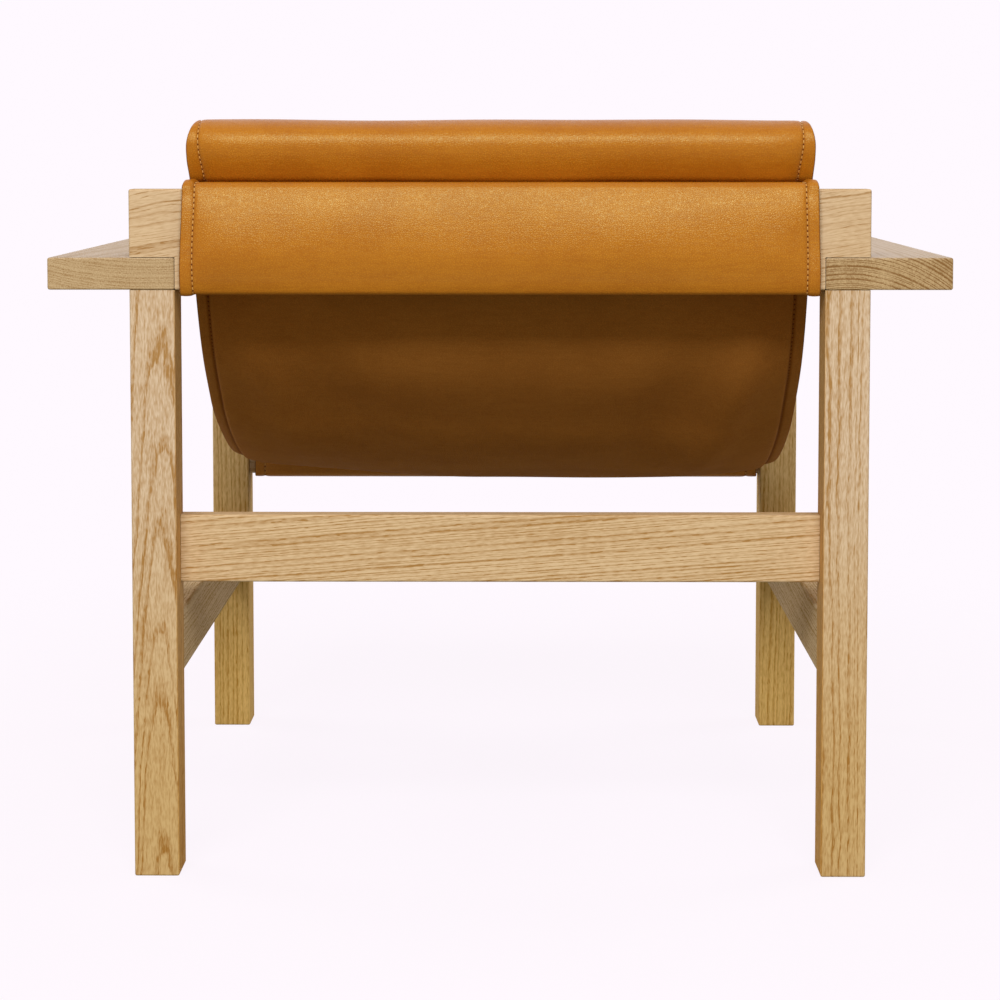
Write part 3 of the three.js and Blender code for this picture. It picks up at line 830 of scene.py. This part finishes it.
# %% [markdown]
# ## Finishes
# Every finish is made of nodes. Effects that several materials use are node groups with named sockets:
# the growth rings of ash, the pebbled grain of leather and the stitch holes. The shaders stay outside.

# %% Node groups and vectors
SOCKETS = {"vector": "NodeSocketVector", "value": "NodeSocketFloat", "colour": "NodeSocketColor"}


def new_group(name, inputs, outputs):
    """Empty shader node group. Inputs give each name a kind and a default, outputs give it a kind. Returns
    the group, its inputs as wires and the sockets of its outputs."""
    group = bpy.data.node_groups.new(name, "ShaderNodeTree")
    for label, (kind, default) in inputs.items():
        socket = group.interface.new_socket(label, in_out="INPUT", socket_type=SOCKETS[kind])
        if default is not None:
            socket.default_value = default
    for label, kind in outputs.items():
        group.interface.new_socket(label, in_out="OUTPUT", socket_type=SOCKETS[kind])
    return group, outputs_of(node(group, "NodeGroupInput")), node(group, "NodeGroupOutput").inputs


def vector_node(operation, wire, other, output=0):
    """Vector Math node of a wire and another wire or triple."""
    return wire_up(wire.tree, "ShaderNodeVectorMath", wire, other, operation=operation, output=output)


def axes_of(wire):
    """The three numbers of a vector."""
    made = node(wire.tree, "ShaderNodeSeparateXYZ")
    feed(made.inputs[0], wire)
    return [Wire(socket) for socket in made.outputs]


def distance_node(first, second):
    """Length of two numbers at right angles: the root of the sum of their squares."""
    return (first.maths("POWER", 2.0) + second.maths("POWER", 2.0)).maths("SQRT")


# %% Noise, fades and mixes
NOISE_MIDDLE = 0.5


def noise_node(wire, scale, detail=2.0, roughness=0.5, output=0):
    """Noise at a vector. A triple of scales draws the noise out along some axes."""
    if isinstance(scale, tuple):
        wire = vector_node("MULTIPLY", wire, scale)
        scale = 1.0
    made = node(wire.tree, "ShaderNodeTexNoise", Scale=scale, Detail=detail, Roughness=roughness)
    feed(made.inputs["Vector"], wire)
    return Wire(made.outputs[output])


def fade_node(wire, one_until, zero_from):
    """Smooth fall from 1 to 0 between two values of a wire."""
    return step_node(wire, one_until, zero_from, to_low=1.0, to_high=0.0)


def clamp_node(wire):
    """A value kept between 0 and 1."""
    return wire_up(wire.tree, "ShaderNodeClamp", wire)


def blend_node(share, first, second, blend_type="MIX"):
    """Mix of two colours, each a wire or a colour."""
    made = node(share.tree, "ShaderNodeMix", data_type="RGBA", blend_type=blend_type)
    for place, value in zip((0, 6, 7), (share, first, second)):
        feed(made.inputs[place], value)
    return Wire(made.outputs[2])


# %% [markdown]
# ## Ash
# Ash is ring-porous: each year starts with a band of open pores, which shows as a darker, grainy line,
# and goes on with dense pale wood. A picture of boards could be wrapped on, but rings computed in space
# run correctly from a board's face round its edge to its end.

# %% Years of growth
SLOW_BEND, FINE_BEND = (14.0, 14.0, 3.2), (70.0, 70.0, 22.0)
BEND_WEIGHT, YEAR_SCALE, YEAR_WEIGHT = 4.0, 0.37, 2.4


def ring_phase(given):
    """Share of a year at each point: the distance from the pith line, bent by slow and fine noise, over
    the ring width, with wide and narrow years in turn. Only what lies past the whole years is kept."""
    vector, waviness = given["Vector"], given["Waviness"]
    slow, fine = noise_node(vector, SLOW_BEND), noise_node(vector, FINE_BEND)
    x, y, _ = axes_of(vector)
    bent_x = x + (slow - NOISE_MIDDLE) * waviness * BEND_WEIGHT
    ring = (distance_node(bent_x, y) + (fine - NOISE_MIDDLE) * waviness) / given["Ring Width"]
    year = node(vector.tree, "ShaderNodeTexNoise", noise_dimensions="1D", Scale=YEAR_SCALE, Detail=1.0)
    feed(year.inputs["W"], ring)
    return (ring + Wire(year.outputs[0]) * YEAR_WEIGHT).maths("FRACT")


# %% Growth rings
GRAIN_OUTPUTS = {"Color": "colour", "Roughness": "value", "Height": "value"}
# The inner tint is painted warm bounce light on the legs' inner faces. The warm tint is a tone on the rear
# stretcher and painted floor bounce light on the legs.
WARM_TONE_AND_BOUNCE_TINT, PAINTED_BOUNCE_TINT = (0.915, 0.81, 0.52, 1), (1.22, 1.04, 0.68, 1)
BREAKS, PORES, FLECKS = (60.0, 60.0, 5.0), (760.0, 760.0, 95.0), (820.0, 820.0, 150.0)
FIBRES, STRIPES = (430.0, 430.0, 16.0), (26.0, 26.0, 2.2)
EARLY_RISEN, EARLY_FADES = 0.22, 0.20
BREAK_LOW, BREAK_HIGH, BREAK_LEAVES = 0.25, 0.7, 0.40
PORE_LOW, PORE_HIGH = 0.56, 0.66
PORES_FROM, PORES_FULL, LATE_PORES = 0.05, 0.5, 0.12
EARLY_WEIGHT, PORE_WEIGHT, FLECK_WEIGHT, SPECKLE_WEIGHT, SPECKLE_MIDDLE = 0.60, 0.50, 1.45, 0.45, 0.42
END_FROM, END_FULL = 0.5, 0.95
DULL_DARKNESS, PALE_ROUGHNESS, DARK_ROUGHNESS = 0.8, 0.58, 0.70
EARLY_DEPTH, PORE_DEPTH = 0.2, 0.8


def ash_rings():
    """Node group for ash. Early wood rises fast at the start of each year and fades over the share Band.
    It is darkened with pores, flecks, fibres and broad stripes, which Contrast strengthens, and the colour
    goes from Pale to Dark by that. Warm tints it with a warm tone, which on the legs is painted floor bounce
    light, Inner paints warm bounce light on the legs' inner faces, and End tints the end grain."""
    group, given, result = new_group("ash_rings", {
        "Vector": ("vector", None), "Ring Width": ("value", 0.0032), "Waviness": ("value", 0.004),
        "Pale": ("colour", (0.71, 0.545, 0.385, 1)), "Dark": ("colour", (0.42, 0.225, 0.075, 1)),
        "End": ("value", 0.0), "Warm": ("value", 0.0), "Fleck": ("value", 1.0), "Band": ("value", 0.72),
        "Polish": ("value", 0.0), "End Tint": ("colour", (0.71, 0.70, 0.66, 1)), "Inner": ("value", 0.0),
        "Contrast": ("value", 1.0), "End Contrast": ("value", 1.0)}, GRAIN_OUTPUTS)
    vector, contrast = given["Vector"], given["Contrast"]
    fading = ring_phase(given) / given["Band"]
    early = step_node(fading, 0.0, EARLY_RISEN) * fade_node(fading, EARLY_FADES, 1.0)
    early = early * step_node(noise_node(vector, BREAKS), BREAK_LOW, BREAK_HIGH, to_low=BREAK_LEAVES)
    pore = step_node(noise_node(vector, PORES, detail=1.0), PORE_LOW, PORE_HIGH)
    pore = pore * step_node(early, PORES_FROM, PORES_FULL, to_low=LATE_PORES)
    fleck = noise_node(vector, FLECKS, detail=1.5) - SPECKLE_MIDDLE
    fibre = noise_node(vector, FIBRES, detail=1.0) - SPECKLE_MIDDLE
    broad = noise_node(vector, STRIPES) - SPECKLE_MIDDLE
    dark = early * EARLY_WEIGHT + pore * PORE_WEIGHT + fleck * given["Fleck"] * FLECK_WEIGHT
    dark = dark + fibre * SPECKLE_WEIGHT + broad * SPECKLE_WEIGHT
    on_end = step_node(given["End"], END_FROM, END_FULL)
    shade = clamp_node(dark * (contrast + (given["End Contrast"] - contrast) * on_end))
    colour = blend_node(shade, given["Pale"], given["Dark"])
    # Tints: warm tone and painted floor bounce, painted bounce on inner faces, end grain colour
    tints = ((given["Warm"], WARM_TONE_AND_BOUNCE_TINT), (given["Inner"], PAINTED_BOUNCE_TINT), (on_end, given["End Tint"]))
    for amount, tint in tints:
        colour = blend_node(amount, colour, tint, "MULTIPLY")
    feed(result["Color"], colour)
    roughness = step_node(dark, 0.0, DULL_DARKNESS, PALE_ROUGHNESS, DARK_ROUGHNESS)
    feed(result["Roughness"], roughness - given["Polish"])
    feed(result["Height"], 1.0 - (pore * PORE_DEPTH + early * EARLY_DEPTH))
    return group


ASH = ash_rings()
print("ash group", len(ASH.nodes), "nodes")

# %% Materials
def new_look(name, specular):
    """Material with a Principled shader. Returns it, its node tree and the shader's inputs."""
    look = bpy.data.materials.new(name)
    look.use_nodes = True
    shader = look.node_tree.nodes["Principled BSDF"].inputs
    shader["Specular IOR Level"].default_value = specular
    return look, look.node_tree, shader


def raise_bump(shader, height, strength, distance):
    """Bump of a height, given to a shader's Normal."""
    bump = node(height.tree, "ShaderNodeBump", Strength=strength, Distance=distance)
    feed(bump.inputs["Height"], height)
    feed(shader["Normal"], Wire(bump.outputs[0]))


def dress(piece, look):
    """Gives a piece one material."""
    piece.data.materials.clear()
    piece.data.materials.append(look)


# %% Ash on a board
LENGTH_TURNS = {"X": Euler((0, -math.pi / 2, 0)), "Y": Euler((math.pi / 2, 0, 0)), "Z": Euler((0, 0, 0))}
# Heights over which painted warm floor bounce light fades up the legs
BOUNCE_PAINT_FOOT, BOUNCE_PAINT_TOP = 0.05, 0.42
INNER_TURNS, INNER_FULL = 0.4, 0.9
WOOD_BUMP, WOOD_BUMP_DEPTH = 0.35, 0.3 * MM


def ash_look(name, piece, axis, pith, lean, gloss=0.02, inner=None, **ring_values):
    """Ash with its rings round a pith line: axis is the board's length, which is turned to local Z, pith is
    how far the board's middle lies from the pith, and lean tips the rings so that they run out as flames.
    Gloss is the specular level, inner the way of a leg's inner face, where painted warm bounce light is laid
    on, and the other values go to the group. Legs get painted warm floor bounce light towards the floor."""
    look, tree, shader = new_look(name, gloss)
    low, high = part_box(piece)
    middle = (Vector(low) + Vector(high)) / 2
    turned = LENGTH_TURNS[axis].to_matrix()
    matrix = Euler((math.radians(lean[0]), math.radians(lean[1]), 0)).to_matrix() @ turned
    length_way = turned.inverted() @ Vector((0, 0, 1))
    where = outputs_of(node(tree, "ShaderNodeTexCoord"))
    mapping = node(tree, "ShaderNodeMapping", Rotation=matrix.to_euler(),
                   Location=Vector(pith) - matrix @ middle)
    feed(mapping.inputs["Vector"], where["Object"])
    rings = node(tree, "ShaderNodeGroup", node_tree=ASH, **ring_values)
    feed(rings.inputs["Vector"], Wire(mapping.outputs[0]))
    on_end = vector_node("DOT_PRODUCT", where["Normal"], length_way, "Value")
    feed(rings.inputs["End"], on_end.maths("ABSOLUTE"))
    # Painted warm bounce light on a leg's inner face
    if inner:
        on_inner = vector_node("DOT_PRODUCT", where["Normal"], inner, "Value")
        feed(rings.inputs["Inner"], step_node(on_inner, INNER_TURNS, INNER_FULL))
    # Painted warm floor bounce light: the legs get warmer towards the floor
    if axis == "Z":
        height = axes_of(where["Object"])[2]
        feed(rings.inputs["Warm"], fade_node(height, BOUNCE_PAINT_FOOT, BOUNCE_PAINT_TOP))
    wood = outputs_of(rings)
    feed(shader["Base Color"], wood["Color"])
    feed(shader["Roughness"], wood["Roughness"])
    raise_bump(shader, wood["Height"], WOOD_BUMP, WOOD_BUMP_DEPTH)
    return look


# %% Boards
# The front legs' palette is brighter and yellower than the other legs': painted yellow bounce light on legs
# that stand in shade.
HONEY_AND_PAINTED_LIGHT = dict(Pale=(0.90, 0.67, 0.37, 1), Dark=(0.56, 0.325, 0.095, 1))
LIGHT = dict(Pale=(0.86, 0.66, 0.41, 1), Dark=(0.52, 0.30, 0.10, 1))
GREYED = dict(Pale=(0.50, 0.372, 0.228, 1), Dark=(0.28, 0.158, 0.058, 1))
STREAKED = dict(Pale=(0.50, 0.372, 0.228, 1), Dark=(0.22, 0.115, 0.035, 1))
PLAIN = dict(Pale=(0.69, 0.50, 0.31, 1), Dark=(0.40, 0.215, 0.08, 1))
STRAW = dict(Pale=(0.74, 0.555, 0.365, 1), Dark=(0.42, 0.225, 0.075, 1))
BOARDS = {
    "rear_left_leg": dict(axis="Z", pith=(0.006, 0.0127, 0.10), lean=(-2.2, 0.3), inner=(-1, 0, 0),
                          Ring_Width=0.0036, Waviness=0.0030, Band=0.50, Contrast=1.16),
    "rear_right_leg": dict(axis="Z", pith=(-0.030, 0.030, 0.30), lean=(-0.5, 0.8), inner=(1, 0, 0),
                           Ring_Width=0.0034, Waviness=0.0030, Band=0.48, Contrast=1.10),
    "front_left_leg": dict(axis="Z", pith=(0.060, 0.040, 0.20), lean=(0.5, 0.4),
                           Ring_Width=0.0034, Waviness=0.0020, **HONEY_AND_PAINTED_LIGHT),
    "front_right_leg": dict(axis="Z", pith=(-0.055, 0.045, 0.45), lean=(0.4, 0.6),
                            Ring_Width=0.0032, Waviness=0.0020, **HONEY_AND_PAINTED_LIGHT),
    "left_arm": dict(axis="Y", pith=(0.030, 0.350, 0.25), lean=(0.8, 0.5), gloss=0.22,
                     Ring_Width=0.0026, Waviness=0.0020, Fleck=1.4, Band=0.85, Polish=0.20,
                     End_Tint=(1.10, 1.06, 0.96, 1), Contrast=0.35, End_Contrast=0.75, **GREYED),
    "right_arm": dict(axis="Y", pith=(-0.040, -0.120, 0.55), lean=(0.7, 0.6), gloss=0.22,
                      Ring_Width=0.0028, Waviness=0.0010, Fleck=0.40, Band=0.55, Polish=0.20,
                      End_Tint=(1.07, 1.00, 0.84, 1), Contrast=0.25, End_Contrast=2.1, **STREAKED),
    "rear_rail": dict(axis="X", pith=(0.150, 0.060, 0.15), lean=(0.8, -9.0),
                      Ring_Width=0.0034, Waviness=0.0050, Fleck=0.60, Band=0.32, **PLAIN),
    "front_rail": dict(axis="X", pith=(0.015, 0.070, 0.35), lean=(0.8, 0.8),
                       Ring_Width=0.0034, Waviness=0.0040),
    "rear_stretcher": dict(axis="X", pith=(0.090, 0.060, 0.40), lean=(0.5, -4.0), Ring_Width=0.0026,
                           Waviness=0.0012, Fleck=0.62, Band=0.56, Warm=0.28, Contrast=1.25, **STRAW),
    "left_side_stretcher": dict(axis="Y", pith=(0.050, 0.050, 0.15), lean=(0.6, 0.6),
                                Ring_Width=0.0032, Waviness=0.0040, **LIGHT),
    "right_side_stretcher": dict(axis="Y", pith=(-0.050, 0.055, 0.45), lean=(0.6, 0.6),
                                 Ring_Width=0.0032, Waviness=0.0040, **LIGHT),
}
BEECH = dict(axis="Z", pith=(0.02, 0.03, 0.0), lean=(0.5, 0.5), Ring_Width=0.0018, Waviness=0.001,
             Pale=(0.62, 0.40, 0.22, 1), Dark=(0.46, 0.27, 0.13, 1))
for board, how in BOARDS.items():
    dress(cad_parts[board], ash_look("ash_" + board, board, **how))
dowels = [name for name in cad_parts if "dowel" in name]
for dowel in dowels:
    dress(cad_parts[dowel], ash_look("beech_" + dowel, dowel, **BEECH))
print("boards", len(BOARDS), "dowels", len(dowels))

# %% [markdown]
# ## Leather
# Drum-dyed caramel leather has a pebbled grain of cells one to two millimetres wide, cloudy colour and a
# soft shine. Along its hems the shade of the stitch groove is painted in as a darker colour, the needle holes
# are painted dark as the shade inside them, and its cut edge is stained. A picture of leather would stretch
# round the rolls, so the grain is worked out in space. Only the stitch marks follow the strip, by the places
# that its points carry.

# %% Pebbled grain
BEND_SCALE, BEND_SIZE = 260.0, (1.2 * MM, 1.2 * MM, 1.2 * MM)
PEBBLE_EDGE, PEBBLE_SHADE, PEBBLE_HEIGHT = 0.28, 0.72, 0.60
CLOUD_SCALE, CLOUD_LOW, CLOUD_HIGH, CLOUD_SHADE = 15.0, 0.35, 0.72, 0.45
MOTTLE_SCALE, MOTTLE_MIDDLE, MOTTLE_SHADE, MOTTLE_ROUGH = 180.0, 0.45, 0.40, 0.12
DRAWN_SCALE, DRAWN_SHADE, DRAWN_HEIGHT = (35.0, 420.0, 420.0), 0.9, 0.55
FINE_SCALE, FINE_HEIGHT = 2600.0, 0.04


def leather_grain():
    """Node group for leather. Bent cells give pebbles, which are shaded towards their edges. Clouds, mottle
    and lines drawn out across the strip are added to that shade, and Colour goes to Shade by it."""
    group, given, result = new_group("leather_grain", {
        "Vector": ("vector", None), "Cell": ("value", 600.0), "Colour": ("colour", (0.5, 0.17, 0.02, 1)),
        "Shade": ("colour", (0.38, 0.11, 0.012, 1)), "Shine": ("value", 0.42)}, GRAIN_OUTPUTS)
    vector = given["Vector"]
    bend = vector_node("SUBTRACT", noise_node(vector, BEND_SCALE, output=1), (NOISE_MIDDLE,) * 3)
    cells = node(group, "ShaderNodeTexVoronoi", feature="DISTANCE_TO_EDGE")
    feed(cells.inputs["Vector"], vector_node("ADD", vector, vector_node("MULTIPLY", bend, BEND_SIZE)))
    feed(cells.inputs["Scale"], given["Cell"])
    pebble = step_node(Wire(cells.outputs["Distance"]), 0.0, PEBBLE_EDGE)
    fine = noise_node(vector, FINE_SCALE)
    cloud = noise_node(vector, CLOUD_SCALE, detail=4.0, roughness=0.6)
    cloud = step_node(cloud, CLOUD_LOW, CLOUD_HIGH, to_high=CLOUD_SHADE)
    mottle = noise_node(vector, MOTTLE_SCALE, detail=3.0, roughness=0.6)
    drawn = noise_node(vector, DRAWN_SCALE, roughness=0.6)
    shade = (1.0 - pebble) * PEBBLE_SHADE + cloud
    shade = shade + (mottle - MOTTLE_MIDDLE) * MOTTLE_SHADE + (drawn - NOISE_MIDDLE) * DRAWN_SHADE
    feed(result["Color"], blend_node(clamp_node(shade), given["Colour"], given["Shade"]))
    feed(result["Roughness"], given["Shine"] + (mottle - NOISE_MIDDLE) * MOTTLE_ROUGH)
    feed(result["Height"], pebble * PEBBLE_HEIGHT + fine * FINE_HEIGHT + drawn * DRAWN_HEIGHT)
    return group


GRAIN = leather_grain()
print("grain group", len(GRAIN.nodes), "nodes")

# %% Needle holes
HOLE_INSIDE, HOLE_OUTSIDE, GROOVE_SHADE_REACH = 0.50 * MM, 0.95 * MM, 3.2 * MM
STAIN_FULL, STAIN_REACH = 0.3 * MM, 1.4 * MM


def needle_holes():
    """Node group for marks along a hem. Hole is 1 within a small distance of points one Pitch apart on the
    hem, the mask for the painted shade of the stitch groove fades with the distance from the hem's line,
    and Edge with that from the cut edge."""
    group, given, result = new_group("needle_holes", {
        "Strip": ("vector", None), "Pitch": ("value", PITCH), "Hem": ("value", HEM)},
        {"Hole": "value", "Groove Shade": "value", "Edge": "value"})
    _, length, edge_distance = axes_of(given["Strip"])
    run = ((length / given["Pitch"] + 0.5).maths("FRACT") - 0.5) * given["Pitch"]
    off = edge_distance - given["Hem"]
    feed(result["Hole"], fade_node(distance_node(run, off), HOLE_INSIDE, HOLE_OUTSIDE))
    feed(result["Groove Shade"], fade_node(off.maths("ABSOLUTE"), 0.0, GROOVE_SHADE_REACH))
    feed(result["Edge"], fade_node(edge_distance, STAIN_FULL, STAIN_REACH))
    return group


HOLES = needle_holes()
print("holes group", len(HOLES.nodes), "nodes")

# %% Leather on the sling
# Painted shade of the stitch groove, the stained cut edge, and painted shade inside the needle holes
GROOVE_SHADE_COLOUR, STAINED, HOLE_SHADE_COLOUR = (0.22, 0.066, 0.006, 1), (0.16, 0.045, 0.008, 1), (0.120, 0.022, 0.007, 1)
STAIN_SHARE, HOLE_DULL, HOLE_DEPTH = 0.8, 0.6, 1.5
UNDER_DULL, UNDER_FADE = 0.6, 12 * MM
LEATHER_BUMP_DEPTH = 0.5 * MM
GOLDEN_SHINE = (0.83, 1.0, 0.50, 1.0)
BAND_END = float(np.interp(band_to, along, face_along))


def leather_look(name, colour, shade, shine, specular, cell, bump_strength, groove_shade):
    """Grained leather with painted shade of the stitch groove along its hems, needle holes painted dark as
    shade, a stained cut edge, and duller where it turns under the rear rail."""
    look, tree, shader = new_look(name, specular)
    strip = outputs_of(node(tree, "ShaderNodeAttribute", attribute_name="strip"))["Vector"]
    grain = node(tree, "ShaderNodeGroup", node_tree=GRAIN, Colour=colour, Shade=shade, Shine=shine, Cell=cell)
    holes = node(tree, "ShaderNodeGroup", node_tree=HOLES)
    feed(grain.inputs["Vector"], outputs_of(node(tree, "ShaderNodeTexCoord"))["Object"])
    feed(holes.inputs["Strip"], strip)
    grain, holes = outputs_of(grain), outputs_of(holes)
    # Painted shade of the stitch groove along the hem
    groove_shaded = blend_node(holes["Groove Shade"] * groove_shade, grain["Color"], GROOVE_SHADE_COLOUR)
    stained = blend_node(holes["Edge"] * STAIN_SHARE, groove_shaded, STAINED)
    # Painted shade inside the needle holes
    feed(shader["Base Color"], blend_node(holes["Hole"], stained, HOLE_SHADE_COLOUR))
    turned_under = step_node(axes_of(strip)[1], BAND_END - UNDER_FADE, BAND_END, to_high=UNDER_DULL)
    feed(shader["Roughness"], grain["Roughness"] + (holes["Hole"] * HOLE_DULL + turned_under))
    raise_bump(shader, grain["Height"] - holes["Hole"] * HOLE_DEPTH, bump_strength, LEATHER_BUMP_DEPTH)
    shader["Specular Tint"].default_value = GOLDEN_SHINE
    return look


face_look = leather_look("caramel_face_leather", (0.515, 0.188, 0.011, 1), (0.41, 0.128, 0.006, 1),
                         shine=0.33, specular=0.38, cell=600.0, bump_strength=0.36, groove_shade=0.35)
# The lining is darker and more olive than the face leather: partly its own colour, partly painted shade and
# floor bounce on the seat's underside.
lining_look = leather_look("caramel_lining_leather", (0.432, 0.170, 0.033, 1), (0.345, 0.129, 0.023, 1),
                           shine=0.75, specular=0.03, cell=560.0, bump_strength=0.4, groove_shade=0.85)
dress(sling_face, face_look)
dress(sling_lining, lining_look)
print("leathers", face_look.name, lining_look.name)

# %% [markdown]
# ## Thread, cloth and foam
# Waxed thread, woven cloth and cut foam are matt and finely mottled. Each could have a weave or bubbles of
# its own, but the thread is less than a millimetre thick and the other two lie inside the leather, so one
# mottled finish with its own colours and scale does for all of them.

# %% Thread, cloth and foam
MOTTLED_GLOSS, MOTTLED_BUMP, MOTTLED_DEPTH = 0.05, 0.4, 0.3 * MM
SPECK_LOW, SPECK_HIGH = 0.3, 0.7


def mottled_look(name, colour, shade, scale, roughness):
    """Finish of two mottled colours with a fine bump, both by one noise."""
    look, tree, shader = new_look(name, MOTTLED_GLOSS)
    speck = noise_node(outputs_of(node(tree, "ShaderNodeTexCoord"))["Object"], scale, detail=3.0)
    feed(shader["Base Color"], blend_node(step_node(speck, SPECK_LOW, SPECK_HIGH), colour, shade))
    raise_bump(shader, speck, MOTTLED_BUMP, MOTTLED_DEPTH)
    shader["Roughness"].default_value = roughness
    return look


face_thread_look = mottled_look("waxed_thread", (0.82, 0.50, 0.18, 1), (0.68, 0.38, 0.11, 1),
                                scale=2400.0, roughness=0.8)
lining_thread_look = mottled_look("lining_thread", (0.33, 0.15, 0.035, 1), (0.25, 0.105, 0.02, 1),
                                  scale=2400.0, roughness=0.8)
cloth_look = mottled_look("interliner_cloth", (0.70, 0.66, 0.58, 1), (0.60, 0.56, 0.48, 1),
                          scale=1600.0, roughness=0.9)
foam_look = mottled_look("bolster_foam", (0.80, 0.72, 0.52, 1), (0.70, 0.62, 0.42, 1),
                         scale=900.0, roughness=0.95)
dress(face_thread, face_thread_look)
dress(lining_thread, lining_thread_look)
dress(sling_cloth, cloth_look)
dress(bolster_core, foam_look)
print("materials", len(bpy.data.materials))

# %% [markdown]
# ## What stands for what
# The soft CAD solids stay in the simulation, and the leather, cloth and foam made here stand for them.

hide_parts("sling_face_leather")
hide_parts("sling_lining_leather")
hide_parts("sling_interliner")
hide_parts("bolster_foam")
